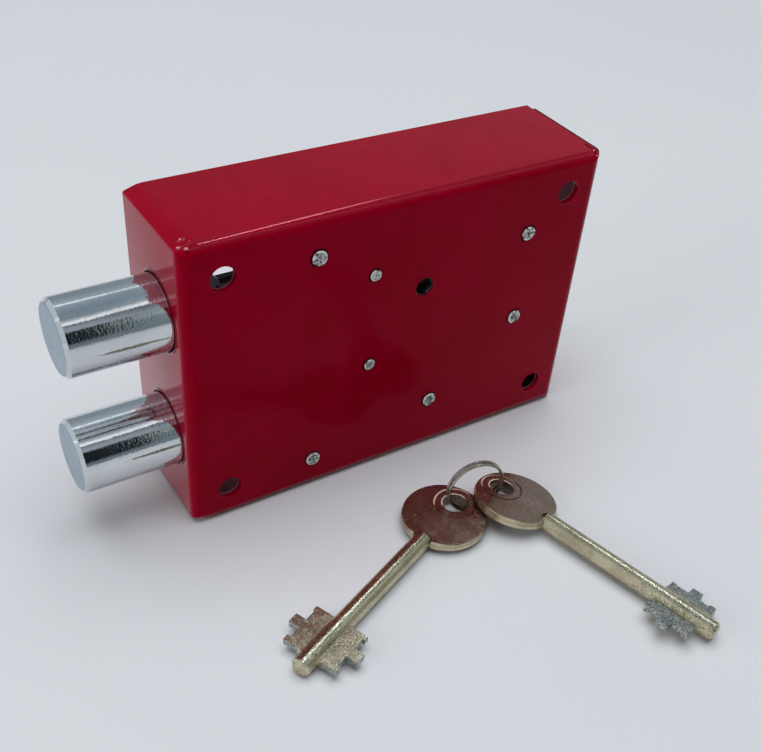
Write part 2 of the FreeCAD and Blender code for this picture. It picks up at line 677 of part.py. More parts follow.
def bolt_plate():
    body = new_body("bolt_plate")
    level = FRONT + " + sheet_thickness + plate_gap"
    top = "upper_left_z - pillar_diameter / 2 - slide_gap"
    bottom = "lower_left_z + pillar_diameter / 2 + slide_gap"
    step_x = "left_pillar_x + pillar_diameter / 2 + 0.6"
    near_key = "key_x - bit_reach_a - bolt_throw - 0.7"
    flat = Profile(body, "plate_outline", "XZ_Plane", level)
    flat.polygon((
        (PLATE_LEFT, bottom),
        (step_x, bottom),
        (step_x, bottom + " - 5.5"),
        ("centre_pillar_x + pillar_diameter + 9", bottom + " - 5.5"),
        ("centre_pillar_x + pillar_diameter + 9", "talon_root_z"),
        (near_key, "talon_root_z"),
        (near_key, top),
        (PLATE_LEFT, top),
    ))
    flat.pad("plate_thickness", 1)
    add_talons(body, level)
    fold = Profile(body, "plate_fold", "XZ_Plane", level)
    fold.rectangle(PLATE_LEFT, PLATE_LEFT + " + plate_thickness",
                   bottom + " + plate_fold_inset", top + " - plate_fold_inset")
    fold.pad("plate_fold_reach - sheet_thickness - plate_gap", 1)
    left = number(PLATE_LEFT)
    face = number(level)
    dress(body, "Fillet", "Radius", "plate_bend",
          lambda edge: along_axis(edge, 2) and near(edge.BoundBox.XMin, left)
          and near(edge.BoundBox.YMin, face) and edge.Length > 10)
    slots = Profile(body, "plate_slots", "XZ_Plane", level)
    pin_slot = "pin_diameter / 2 + slide_gap"
    pillar_slot = "pillar_diameter / 2 + slide_gap"
    slots.slot(("pin_x - bolt_throw", "lower_pin_z"), ("pin_x", "lower_pin_z"), pin_slot)
    slots.slot(("pin_x - bolt_throw", "upper_pin_z"), ("pin_x", "upper_pin_z"), pin_slot)
    slots.slot(("centre_pillar_x - bolt_throw", "centre_pillar_z"),
               ("centre_pillar_x", "centre_pillar_z"), pillar_slot)
    slots.slot(("right_pillar_x - bolt_throw", "lower_right_z"),
               ("right_pillar_x", "lower_right_z"), pillar_slot)
    slots.circle("stump_x", "stump_z", "stump_tenon + 2 * tail_gap")
    slots.pocket("plate_thickness + 1", 1)
    tenons = Profile(body, "tenon_holes", "YZ_Plane", PLATE_LEFT)
    for height in ("upper_bolt_z", "lower_bolt_z"):
        tenons.circle(FRONT + " + bolt_setback", height, "tenon_diameter + 2 * tail_gap")
    tenons.pocket("2 * plate_thickness", 1)
    return body


def add_talons(body, level):
    """Two teeth, one for each half turn of the key."""
    teeth = Profile(body, "talons", "XZ_Plane", level)
    half_chord = "sqrt(bit_reach_a ^ 2 - (key_z - talon_tip_z) ^ 2)"
    for step in range(2):
        left = "key_x - %s - %d * talon_pitch" % (half_chord, step)
        teeth.rectangle(left, left + " + talon_width", "talon_root_z - 1", "talon_tip_z")
    teeth.pad("plate_thickness", 1)


def round_bolt(name, height):
    body = new_body(name)
    axis = (FRONT + " + bolt_setback", height)
    shaft = Profile(body, name + "_shaft", "YZ_Plane", PLATE_LEFT)
    shaft.circle(*axis, "bolt_diameter").pad("bolt_inside + bolt_projection", -1)
    tenon = Profile(body, name + "_tenon", "YZ_Plane", PLATE_LEFT)
    tenon.circle(*axis, "tenon_diameter").pad("plate_thickness + tenon_head_height", 1)
    head = Profile(body, name + "_head", "YZ_Plane", PLATE_LEFT + " + plate_thickness")
    head.circle(*axis, "tenon_head").pad("tenon_head_height", 1)
    tip = number(LEFT + " - bolt_projection")
    dress(body, "Chamfer", "Size", "bolt_chamfer",
          lambda edge: rim(edge, number("bolt_diameter / 2"), None, 0, tip))
    head_end = number(PLATE_LEFT + " + plate_thickness + tenon_head_height")
    dress(body, "Fillet", "Radius", "0.6 * tenon_head_height",
          lambda edge: rim(edge, number("tenon_head / 2"), None, 0, head_end))
    return body


def bolt_stump():
    body = new_body("bolt_stump")
    face = FRONT + " + sheet_thickness + plate_gap + plate_thickness"
    post = Profile(body, "stump_post", "XZ_Plane", face)
    post.circle("stump_x", "stump_z", "stump_diameter")
    post.pad("keeper_setback - sheet_thickness - plate_gap - plate_thickness - 0.2", 1)
    tenon = Profile(body, "stump_tenon_round", "XZ_Plane", face)
    tenon.circle("stump_x", "stump_z", "stump_tenon").pad("plate_thickness", -1)
    return body


def lever(index, name, reach):
    body = new_body(name)
    lift = name + "_lift"
    level = FRONT + " + pack_setback + %d * lever_pitch" % index
    blank = Profile(body, name + "_blank", "XZ_Plane", level)
    blank.rectangle("lever_left", "lever_right", "lever_bottom", "lever_top")
    blank.pad("lever_thickness", 1)
    dress(body, "Fillet", "Radius", "lever_corner", lambda edge: along_axis(edge, 1))
    cuts = Profile(body, name + "_cuts", "XZ_Plane", level)
    for across, up, radius in (
            ("pin_x", "upper_pin_z", "pin_diameter / 2 + slide_gap"),
            ("pin_x", "lower_pin_z", "pin_diameter / 2 + slide_gap"),
            ("right_pillar_x", "upper_right_z", "pillar_diameter / 2 + slide_gap"),
            ("right_pillar_x", "lower_right_z", "pillar_diameter / 2 + slide_gap")):
        cuts.slot((across, up + " - " + lift), (across, up), radius)
    belly = "key_z + " + reach + " - " + lift
    cuts.round_with_flat("key_x", "key_z", "lever_opening", belly)
    cut_stump_window(cuts, lift)
    cuts.pocket("2 * lever_thickness", 1)
    return body


def cut_stump_window(profile, lift):
    """Two pockets and the gate between them, half a lift up, that the stump passes through."""
    gap = "stump_diameter / 2 + pocket_gap"
    middle = "stump_x + bolt_throw / 2"
    left = "stump_x - (" + gap + ")"
    right = "stump_x + bolt_throw + " + gap
    low = "stump_z - " + lift + " - (" + gap + ")"
    high = "stump_z + " + gap
    gate_left = middle + " - gate_length / 2"
    gate_right = middle + " + gate_length / 2"
    gate_low = "stump_z - " + lift + " / 2 - stump_diameter / 2 - gate_gap"
    gate_high = "stump_z - " + lift + " / 2 + stump_diameter / 2 + gate_gap"
    profile.polygon((
        (left, low), (gate_left, low), (gate_left, gate_low), (gate_right, gate_low),
        (gate_right, low), (right, low), (right, high), (gate_right, high),
        (gate_right, gate_high), (gate_left, gate_high), (gate_left, high), (left, high),
    ))


BIT_STEPS = (
    ("bit_start", "bit_step_a", "bit_reach_a"),
    ("bit_step_a", "bit_step_b", "bit_reach_b"),
    ("bit_step_b", "bit_step_c", "bit_reach_c"),
    ("bit_step_c", "bit_step_d", "bit_reach_d"),
    ("bit_step_d", "bit_end", "bit_reach_e"),
)


def key(name, flipped):
    """A key along its own X axis from the middle of the bow, with the bits in its XY plane."""
    body = new_body(name)
    bow = Profile(body, name + "_bow", "XY_Plane", "-bow_thickness / 2")
    bow.circle("0", "0", "bow_diameter").pad("bow_thickness", 1)
    rim_radius = number("bow_diameter / 2")
    dress(body, "Chamfer", "Size", "bow_edge",
          lambda edge: edge.Curve.TypeId == "Part::GeomCircle" and near(edge.Curve.Radius, rim_radius))
    hole = Profile(body, name + "_hole", "XY_Plane", "bow_thickness / 2")
    hole.circle("-bow_hole_offset", "0", "bow_hole").pocket("2 * bow_thickness", -1)
    for word, face, inward in (("upper", "bow_thickness / 2", -1), ("lower", "-bow_thickness / 2", 1)):
        mark_bow(body, name + "_" + word, face, inward)
    stem = Profile(body, name + "_stem", "YZ_Plane", "stem_start")
    stem.circle("0", "0", "stem_diameter").pad("key_reach - stem_start", 1)
    tip = number("key_reach")
    dress(body, "Chamfer", "Size", "stem_chamfer",
          lambda edge: rim(edge, number("stem_diameter / 2"), None, 0, tip))
    bits = Profile(body, name + "_bits", "XY_Plane", "-bit_thickness / 2")
    bits.polygon(bit_outline())
    bits.pad("bit_thickness", 1)
    face, inward = ("bit_thickness / 2", -1) if flipped else ("-bit_thickness / 2", 1)
    relief = Profile(body, name + "_relief", "XY_Plane", face)
    rib = "stem_diameter / 2 + bit_rib"
    for low, high in ((rib, "bit_reach_c + 1"), ("-bit_reach_c - 1", "-(" + rib + ")")):
        relief.rectangle("key_reach - bit_end - 1", "key_reach - bit_start + 1", low, high)
    relief.pocket("bit_relief", inward)
    return body


def mark_bow(body, prefix, face, inward):
    """One face of the bow: the engraved circle and the notch round the stem's end."""
    line = Profile(body, prefix + "_line", "XY_Plane", face)
    line.circle("-bow_hole_offset", "0", "bow_line")
    line.circle("-bow_hole_offset", "0", "bow_line - 2 * bow_line_width")
    line.pocket("bow_line_depth", inward)
    notch = Profile(body, prefix + "_notch", "XY_Plane", face)
    half_width = "(stem_diameter / 2 + notch_side)"
    notch.slot(("stem_start - notch_gap + " + half_width, "0"), ("bow_diameter", "0"), half_width)
    notch.pocket("notch_depth", inward)


def bit_outline():
    upper = []
    for near_tip, far, reach in BIT_STEPS:
        upper.append(("key_reach - " + near_tip, reach))
        upper.append(("key_reach - " + far, reach))
    lower = [(across, "-" + up) for across, up in reversed(upper)]
    return upper + lower


def lay_key(body, pose):
    turn = FreeCAD.Rotation(FreeCAD.Vector(0, 0, 1), pose["turn"])
    dip = FreeCAD.Rotation(FreeCAD.Vector(0, 1, 0), pose["dip"])
    roll = FreeCAD.Rotation(FreeCAD.Vector(1, 0, 0), pose["roll"])
    rotation = turn.multiply(dip).multiply(roll)
    body.Placement = FreeCAD.Placement(FreeCAD.Vector(*pose["middle"]), rotation)


def arc_from(start, end, heading):
    """The arc that leaves start along heading and reaches end."""
    chord = end - start
    along = FreeCAD.Vector(chord).normalize()
    aside = heading - along * heading.dot(along)
    angle = heading.getAngle(along)
    middle = start + chord * 0.5
    if aside.Length > 1e-9:
        middle = middle + aside.normalize() * (chord.Length / 2 * math.tan(angle / 2))
    return Part.Arc(start, middle, end)


def biarc(start, start_heading, end, end_heading):
    """Two arcs that join two points smoothly with the given headings."""
    span = end - start
    heading = start_heading + end_heading
    flat = 2 * (1 - start_heading.dot(end_heading))
    across = span.dot(heading)
    reach = (math.sqrt(across ** 2 + flat * span.dot(span)) - across) / flat
    joint = (start + end + (start_heading - end_heading) * reach) * 0.5
    first = arc_from(start, joint, start_heading)
    second = arc_from(end, joint, end_heading * -1)
    return [first, second]


RING_TURNS = 2
RING_START = 0.8
RING_ARCS_PER_TURN = 4
RING_CLEARANCE = 0.02


def key_ring():
    """The split ring, two turns of wire, upright on the surface."""
    radius = number("ring_radius")
    pitch = number("ring_pitch")
    wire_radius = number("ring_wire / 2")
    heading_angle = math.radians(RING_TURN)
    across = FreeCAD.Vector(math.cos(heading_angle), math.sin(heading_angle), 0)
    up = FreeCAD.Vector(0, 0, 1)
    axis = across.cross(up)
    centre = FreeCAD.Vector(*RING_MIDDLE, radius + wire_radius + RING_CLEARANCE)

    def spot(turns):
        angle = 2 * math.pi * turns
        wheel = across * math.cos(angle) + up * math.sin(angle)
        return centre + wheel * radius + axis * (pitch * (turns - RING_START - RING_TURNS / 2))

    def heading(turns):
        angle = 2 * math.pi * turns
        wheel = up * math.cos(angle) - across * math.sin(angle)
        return (wheel * (2 * math.pi * radius) + axis * pitch).normalize()

    edges = []
    for i in range(RING_TURNS * RING_ARCS_PER_TURN):
        begin = RING_START + i / RING_ARCS_PER_TURN
        end = RING_START + (i + 1) / RING_ARCS_PER_TURN
        for arc in biarc(spot(begin), heading(begin), spot(end), heading(end)):
            edges.append(arc.toShape())
    path = Part.Wire(Part.__sortEdges__(edges))
    section = Part.Wire(Part.makeCircle(wire_radius, spot(RING_START), heading(RING_START)))
    solid = path.makePipeShell([section], True, False)
    ring = doc.addObject("Part::Feature", "key_ring")
    ring.Label = "key_ring"
    ring.Shape = solid
    print("ring gap to itself %.3f mm" % ring_gap(path, wire_radius))
    print("ring centre %.3f %.3f %.3f axis %.4f %.4f %.4f" % (*centre, *axis))
    return ring


def ring_gap(path, wire_radius):
    """Least distance between neighbouring turns of the ring's wire."""
    points = path.discretize(Number=400)
    turn = len(points) // RING_TURNS
    near_turn = int(turn * 0.75)
    least = min((points[i] - points[j]).Length
                for i in range(len(points)) for j in range(i + near_turn, len(points)))
    return least - 2 * wire_radius


def build():
    fill_sheet()
    nodes = [case_tray(), cover_plate()]
    for name, across, up in PILLARS:
        nodes.append(pillar(name, across, up))
    for name, across, up in PINS:
        nodes.append(guide_pin(name, across, up))
    nodes += [cover_screws(), retaining_clips(), guard_rivets(), drill_guard(), keeper_plate()]
    nodes += [spring_comb(), bolt_plate()]
    nodes.append(round_bolt("upper_bolt", "upper_bolt_z"))
    nodes.append(round_bolt("lower_bolt", "lower_bolt_z"))
    nodes.append(bolt_stump())
    for index, (name, lift, reach) in enumerate(LEVERS):
        nodes.append(lever(index, name, reach))
    first = key("key_1", False)
    second = key("key_2", True)
    lay_key(first, FIRST_KEY)
    lay_key(second, SECOND_KEY)
    nodes += [first, second, key_ring()]
    return nodes


def check_and_write(nodes):
    doc.recompute()
    for item in doc.Objects:
        for word in ("Invalid", "Error"):
            if word in item.State:
                raise RuntimeError("%s is %s" % (item.Name, item.State))
    for node in nodes:
        if node.Shape.isNull() or not node.Shape.isValid():
            raise RuntimeError("bad shape: " + node.Label)
    os.makedirs("parts", exist_ok=True)
    for node in nodes:
        node.Shape.exportStep("parts/" + node.Label + ".step")
    print("%d nodes written" % len(nodes))


check_and_write(build())
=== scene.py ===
import bmesh
import bpy
import json
import math
from mathutils import Euler, Matrix, Vector


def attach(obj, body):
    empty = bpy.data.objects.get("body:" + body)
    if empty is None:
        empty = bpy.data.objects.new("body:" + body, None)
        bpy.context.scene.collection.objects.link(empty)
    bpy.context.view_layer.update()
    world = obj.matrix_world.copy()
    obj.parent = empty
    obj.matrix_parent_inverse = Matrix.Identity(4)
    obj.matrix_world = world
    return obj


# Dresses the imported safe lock: enamel on the folded case, chrome on the bolts, nickel on the
# keys, peened tails, paint beads and casting marks. Lengths are in metres, in the lock's frame.

MM = 0.001

# Camera, as fitted to the photograph: its own axes, its place in millimetres, lens and shift
CAMERA_RIGHT = (0.84153647, -0.53443522, 0.07871066)
CAMERA_UP = (0.29495844, 0.57665837, 0.76188230)
CAMERA_BACK = (-0.4525659, -0.61793536, 0.64291523)
CAMERA_PLACE = (-151.875, -229.937, 231.753)
CAMERA_LENS = 49.96
CAMERA_SHIFT = (-0.0252, 0.0663)

# Case, as packed
FRONT_Y = -18.25 * MM
LEFT_X = -68.75 * MM
RIGHT_X = 68.75 * MM
CASE_TOP = 95.0 * MM

# Where the round things are, in millimetres: across, up
PILLAR_TAILS = ((-28.9, 82.9), (-28.9, 10.9), (44.0, 72.9), (44.0, 42.4), (13.6, 19.1))
PIN_TAILS = ((-10.5, 72.6), (-10.5, 41.3))
MOUNT_HOLES = ((-57.0, 84.0), (57.0, 84.0), (-57.0, 11.0), (57.0, 11.0))
TIP_HOLE = (6.9, 64.0)

# Bolts: how deep they lie, their levels in millimetres, a plane just inside their end faces, and
# where the grease begins and is thick
BOLT_Y = -2.05 * MM
BOLT_LEVELS = (67.6, 27.0)
BOLT_FACE_X = -97.6 * MM
BOLT_GREASE = (LEFT_X + 1.0 * MM, LEFT_X + 2.0 * MM)

# Peened tails. A step is an inset's thickness and depth as shares of the radius, and the sectors
# are those of the struck star. The shift and width are those of the ring of painted shade round
# each tail.
PILLAR_TAIL_RADIUS = 2.32 * MM
PIN_TAIL_RADIUS = 1.78 * MM
TAIL_LEVEL = FRONT_Y - 0.06 * MM
TAIL_SIDES = 20
TAIL_STEPS = ((0.10, 0.05), (0.12, 0.01), (0.09, -0.09), (0.10, 0.06))
TAIL_SECTORS = 10
TAIL_WANDER = 0.075
SHADE_SHIFT = 0.12 * MM
SHADE_RING_WIDTH = 0.42 * MM

# Paint round the holes, and the bush in the tip's hole, black as painted shade
RIM_THICKNESS = 0.32 * MM
MOUNT_RIM_RADIUS = 3.95 * MM
TIP_RIM_RADIUS = 3.3 * MM
BOLT_RIM_RADIUS = 11.72 * MM
BUSH_RADIUS = 3.09 * MM
BUSH_DEPTH = 3.6 * MM
BUSH_WALL = 0.35 * MM

# Paint drops at a top corner, in millimetres: from the end face, from the front wall, from the
# top, radius
LEFT_DROPS = (
    (3.5, 5.4, 1.0, 1.1), (1.6, 3.2, 1.15, 0.6), (2.9, 1.5, 0.85, 0.55), (4.8, 3.6, 0.45, 0.45),
)
RIGHT_DROPS = ((2.2, 2.4, 0.6, 0.5), (1.6, 0.9, 1.55, 0.55))

# The way in which the dish in a drop faces, and the cosine of its angle out to its edge
DISH_FACES = (-0.4, -0.5, 1.0)
DISH_EDGE = 0.86

# How deep the outer skin is taken to go into the folded sheet, and what the enamel picks out on
# it: painted shade in the seam at the top's far end, painted light on the near end, the top's front
# bend, and painted shade in a corner inside
SKIN = 1.6 * MM
SEAM_EDGE = (RIGHT_X - 1.5 * MM, RIGHT_X - 1.1 * MM)
SEAM_DEPTH = 0.6 * MM
END_DEPTH = 0.3 * MM
BEND_DEPTH = 1.3 * MM
BEND_REACH = 3.1 * MM
# A corner inside, painted black as shade: its middle, and the reach of the darkening
SHADED_CORNER = (66.0 * MM, -9.0 * MM, 2.0 * MM)
SHADED_CORNER_EDGE = (9.0 * MM, 14.0 * MM)

# The upper edge of the cover's arm between the bolts, painted black as shade, and where the arm
# leaves the cover
ARM_TOP = 60.6 * MM
ARM_TOP_SLACK = 0.3 * MM
ARM_ROOT = -35.5 * MM
ARM_FRONT = 15.4 * MM

# A key, from the middle of its bow
BOW_HOLE_OFFSET = 5.9 * MM
BOW_HOLE_EDGE = (3.95 * MM, 4.05 * MM)
HOLE_LIP = (3.7 * MM, 4.35 * MM)
ENGRAVED_LINE = (6.28 * MM, 6.72 * MM)
BOW_EDGE = (12.6 * MM, 13.6 * MM)
RIDGE_RADIUS = 13.2 * MM
RIDGE_THICKNESS = 0.16 * MM
RIDGE_LIFT = 0.2
BITS_FROM = 52.0 * MM
PITTED = (36.0 * MM, 54.0 * MM)
GRITTY = (46.0 * MM, 54.0 * MM)
STEM_REACH = 4.3 * MM

# The way in which the far side of a bow lies, on which the engraving takes a painted highlight
HIGHLIGHT_SIDE = (0.1, 0.99, 0.0)

# How the keys lie: middle of the bow in millimetres, roll, dip and turn in degrees
FIRST_KEY = {"middle": (-1.62, -52.72, 2.93), "angles": (0.0, 0.0, 203.4)}
SECOND_KEY = {"middle": (21.6, -58.04, 4.1), "angles": (-11.8, 0.4, -74.9)}

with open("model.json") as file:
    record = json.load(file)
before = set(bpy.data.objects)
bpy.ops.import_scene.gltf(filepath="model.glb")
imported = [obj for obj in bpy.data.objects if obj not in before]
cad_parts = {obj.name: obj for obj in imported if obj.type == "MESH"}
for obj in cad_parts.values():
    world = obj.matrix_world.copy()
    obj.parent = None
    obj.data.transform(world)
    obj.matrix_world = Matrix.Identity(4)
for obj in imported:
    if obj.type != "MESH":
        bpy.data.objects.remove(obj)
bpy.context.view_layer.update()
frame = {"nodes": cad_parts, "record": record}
nodes = frame["nodes"]


# Camera


def set_camera():
    data = bpy.data.cameras.new("photo_camera")
    camera = bpy.data.objects.new("photo_camera", data)
    bpy.context.scene.collection.objects.link(camera)
    axes = (Vector(CAMERA_RIGHT), Vector(CAMERA_UP), Vector(CAMERA_BACK))
    turn = Matrix(axes).transposed().to_4x4()
    place = Matrix.Translation(Vector(CAMERA_PLACE) * MM)
    camera.matrix_world = place @ turn
    data.sensor_width = 36.0
    data.lens = CAMERA_LENS
    data.shift_x, data.shift_y = CAMERA_SHIFT
    data.clip_start = 0.01
    bpy.context.scene.camera = camera


# Modelling by hand


def only(piece):
    """Leaves one piece selected and active."""
    bpy.ops.object.select_all(action="DESELECT")
    piece.select_set(True)
    bpy.context.view_layer.objects.active = piece


def named(name):
    piece = bpy.context.object
    piece.name = name
    piece.data.name = name
    return piece


def settle(piece):
    """Puts the piece's place, turn and size into its mesh."""
    only(piece)
    bpy.ops.object.transform_apply(location=True, rotation=True, scale=True)


def copy_of(master, name, location, turn):
    piece = master.copy()
    piece.data = master.data.copy()
    piece.name = name
    piece.data.name = name
    bpy.context.scene.collection.objects.link(piece)
    piece.location = location
    piece.rotation_euler = turn
    settle(piece)
    return piece


def modify(piece, kind, **settings):
    only(piece)
    modifier = piece.modifiers.new(kind.lower(), kind)
    for key, value in settings.items():
        setattr(modifier, key, value)
    bpy.ops.object.modifier_apply(modifier=modifier.name)


def smooth(piece, degrees):
    only(piece)
    bpy.ops.object.shade_smooth_by_angle(angle=math.radians(degrees))


def pick_faces(piece, test):
    """In edit mode, leaves selected the faces that pass the test."""
    bpy.ops.mesh.select_mode(type="FACE")
    bpy.ops.mesh.select_all(action="DESELECT")
    shape = bmesh.from_edit_mesh(piece.data)
    for face in shape.faces:
        face.select = test(face)
    bmesh.update_edit_mesh(piece.data)


def dress(piece, body, material):
    piece.data.materials.clear()
    piece.data.materials.append(material)
    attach(piece, body)


# Node trees


class Tree:
    """Adds nodes to a tree and joins them."""

    def __init__(self, tree):
        self.tree = tree

    def add(self, kind, settings=None, **feeds):
        node = self.tree.nodes.new(kind)
        for key, value in (settings or {}).items():
            setattr(node, key, value)
        for key, value in feeds.items():
            self.feed(node.inputs[key.replace("_", " ")], value)
        return node

    def feed(self, socket, value):
        if isinstance(value, bpy.types.NodeSocket):
            self.tree.links.new(value, socket)
        else:
            socket.default_value = value

    def math(self, operation, first, second=0.0):
        node = self.tree.nodes.new("ShaderNodeMath")
        node.operation = operation
        self.feed(node.inputs[0], first)
        self.feed(node.inputs[1], second)
        return node.outputs[0]

    def between(self, value, low, high, out_low=0.0, out_high=1.0):
        """Goes smoothly from out_low to out_high while the value goes from low to high."""
        node = self.add("ShaderNodeMapRange", {"interpolation_type": "SMOOTHSTEP"})
        for key, item in (("Value", value), ("From Min", low), ("From Max", high),
                          ("To Min", out_low), ("To Max", out_high)):
            self.feed(node.inputs[key], item)
        return node.outputs["Result"]

    def plateau(self, value, edges):
        """One between the two inner edges, and zero past the two outer ones."""
        rise = self.between(value, edges[0], edges[1])
        return self.math("MULTIPLY", rise, self.between(value, edges[2], edges[3], 1.0, 0.0))

    def mix(self, share, first, second):
        node = self.tree.nodes.new("ShaderNodeMix")
        node.data_type = "RGBA"
        self.feed(node.inputs[0], share)
        self.feed(node.inputs[6], first)
        self.feed(node.inputs[7], second)
        return node.outputs[2]

    def noise(self, vector, scale, detail=2.0, roughness=0.5):
        node = self.add("ShaderNodeTexNoise", Vector=vector, Scale=scale, Detail=detail,
                        Roughness=roughness)
        return node.outputs["Fac"]


def new_group(name, inputs, outputs):
    group = bpy.data.node_groups.new(name, "ShaderNodeTree")
    for label, kind, value in inputs:
        socket = group.interface.new_socket(label, in_out="INPUT", socket_type=kind)
        if value is not None:
            socket.default_value = value
    for label, kind in outputs:
        group.interface.new_socket(label, in_out="OUTPUT", socket_type=kind)
    tree = Tree(group)
    start = group.nodes.new("NodeGroupInput")
    end = group.nodes.new("NodeGroupOutput")
    return group, tree, start.outputs, end.inputs


FLOAT = "NodeSocketFloat"
VECTOR = "NodeSocketVector"
COLOR = "NodeSocketColor"


def mottle_group():
    """A value that wanders between Low and High over the surface."""
    group, tree, given, result = new_group(
        "mottle",
        (("Vector", VECTOR, None), ("Scale", FLOAT, 300.0), ("Low", FLOAT, 0.2),
         ("High", FLOAT, 0.3)),
        (("Value", FLOAT),))
    broad = tree.noise(given["Vector"], given["Scale"], 3.0)
    fine = tree.noise(given["Vector"], tree.math("MULTIPLY", given["Scale"], 7.3), 2.0)
    both = tree.math("ADD", tree.math("MULTIPLY", broad, 0.7), tree.math("MULTIPLY", fine, 0.3))
    tree.feed(result["Value"], tree.between(both, 0.3, 0.7, given["Low"], given["High"]))
    return group


def speck_group():
    """A mask of small scattered specks, such as dust or pits."""
    group, tree, given, result = new_group(
        "specks",
        (("Vector", VECTOR, None), ("Scale", FLOAT, 600.0), ("Size", FLOAT, 0.12),
         ("Share", FLOAT, 0.3)),
        (("Mask", FLOAT),))
    cells = tree.add("ShaderNodeTexVoronoi", Vector=given["Vector"], Scale=given["Scale"])
    dot = tree.between(cells.outputs["Distance"], 0.0, given["Size"], 1.0, 0.0)
    lot = tree.add("ShaderNodeSeparateColor", Color=cells.outputs["Color"])
    kept = tree.math("LESS_THAN", lot.outputs["Red"], given["Share"])
    tree.feed(result["Mask"], tree.math("MULTIPLY", dot, kept))
    return group


def grain_group():
    """Brushed or turned grain: a height that changes quickly across Stretch and slowly along it."""
    group, tree, given, result = new_group(
        "grain",
        (("Vector", VECTOR, None), ("Stretch", VECTOR, (1.0, 1.0, 1.0)), ("Scale", FLOAT, 1500.0)),
        (("Height", FLOAT),))
    turned = tree.add("ShaderNodeMapping", Vector=given["Vector"], Scale=given["Stretch"])
    coarse = tree.noise(turned.outputs["Vector"], given["Scale"], 2.0, 0.6)
    fine = tree.noise(turned.outputs["Vector"], tree.math("MULTIPLY", given["Scale"], 3.1), 1.0)
    tree.feed(result["Height"], tree.math("ADD", tree.math("MULTIPLY", coarse, 0.65),
                                          tree.math("MULTIPLY", fine, 0.35)))
    return group


def tone_group():
    """A colour that drifts between two tones, with dark specks."""
    group, tree, given, result = new_group(
        "tone",
        (("Vector", VECTOR, None), ("First", COLOR, (0.5, 0.5, 0.5, 1.0)),
         ("Second", COLOR, (0.4, 0.4, 0.4, 1.0)), ("Scale", FLOAT, 60.0),
         ("Speck", COLOR, (0.1, 0.1, 0.1, 1.0)), ("Specks", FLOAT, 0.0)),
        (("Color", COLOR),))
    drift = tree.between(tree.noise(given["Vector"], given["Scale"], 4.0), 0.32, 0.68)
    tone = tree.mix(drift, given["First"], given["Second"])
    fine = tree.noise(given["Vector"], tree.math("MULTIPLY", given["Scale"], 9.0), 2.0)
    spot = tree.math("MULTIPLY", tree.between(fine, 0.56, 0.68), given["Specks"])
    tree.feed(result["Color"], tree.mix(spot, tone, given["Speck"]))
    return group


def engraving_group():
    """The engraved circle and the hole's worn lip on a bow: masks for a painted highlight on one
    side, painted shade opposite, and the hole's inside.
    """
    group, tree, given, result = new_group(
        "engraving",
        (("Vector", VECTOR, None), ("Toward", VECTOR, (1.0, 0.0, 0.0))),
        (("Light", FLOAT), ("Dark", FLOAT), ("Inside", FLOAT)))
    place = tree.add("ShaderNodeSeparateXYZ", Vector=given["Vector"])
    across = tree.math("ADD", place.outputs["X"], BOW_HOLE_OFFSET)
    flat = tree.add("ShaderNodeCombineXYZ", X=across, Y=place.outputs["Y"])
    radius = tree.add("ShaderNodeVectorMath", {"operation": "LENGTH"}).outputs["Value"]
    tree.feed(radius.node.inputs[0], flat.outputs["Vector"])
    dot = tree.add("ShaderNodeVectorMath", {"operation": "DOT_PRODUCT"})
    tree.feed(dot.inputs[0], flat.outputs["Vector"])
    tree.feed(dot.inputs[1], given["Toward"])
    side = tree.math("DIVIDE", dot.outputs["Value"], radius)

    def ring(inner, outer):
        soft = 0.06 * MM
        return tree.plateau(radius, (inner - soft, inner + soft, outer - soft, outer + soft))

    line = ring(*ENGRAVED_LINE)
    lip = ring(*HOLE_LIP)
    near_side = tree.math("MULTIPLY", side, -1.0)
    lit_line = tree.math("MULTIPLY", line, tree.between(side, 0.15, 0.5))
    lit_lip = tree.math("MULTIPLY", lip, tree.between(side, -0.1, 0.35))
    dark_line = tree.math("MULTIPLY", line, tree.between(near_side, -0.2, 0.3))
    dark_lip = tree.math("MULTIPLY", lip, tree.between(near_side, 0.1, 0.6, 0.0, 0.6))
    tree.feed(result["Light"], tree.math("MAXIMUM", lit_line, tree.math("MULTIPLY", lit_lip, 0.85)))
    tree.feed(result["Dark"], tree.math("MAXIMUM", dark_line, dark_lip))
    tree.feed(result["Inside"], tree.between(radius, *BOW_HOLE_EDGE, 1.0, 0.0))
    return group


MOTTLE = mottle_group()
SPECKS = speck_group()
GRAIN = grain_group()
TONE = tone_group()
ENGRAVING = engraving_group()


def key_heading(pose, heading):
    """A heading of the lock's frame as the key has it."""
    turn = Euler(tuple(math.radians(angle) for angle in pose["angles"])).to_matrix()
    return turn.transposed() @ Vector(heading)


class Finish(Tree):
    """A material with one Principled shader, on Object coordinates."""

    def __init__(self, name, **constants):
        self.material = bpy.data.materials.new(name)
        self.material.use_nodes = True
        super().__init__(self.material.node_tree)
        self.shader = self.tree.nodes["Principled BSDF"]
        self.place = self.add("ShaderNodeTexCoord").outputs["Object"]
        for key, value in constants.items():
            self.shader.inputs[key.replace("_", " ")].default_value = value

    def group(self, group, **feeds):
        return self.add("ShaderNodeGroup", {"node_tree": group}, **feeds).outputs[0]

    def wear(self, key, value):
        self.feed(self.shader.inputs[key], value)

    def bump(self, height, distance):
        node = self.add("ShaderNodeBump", Strength=1.0, Distance=distance, Height=height)
        self.feed(self.shader.inputs["Normal"], node.outputs["Normal"])


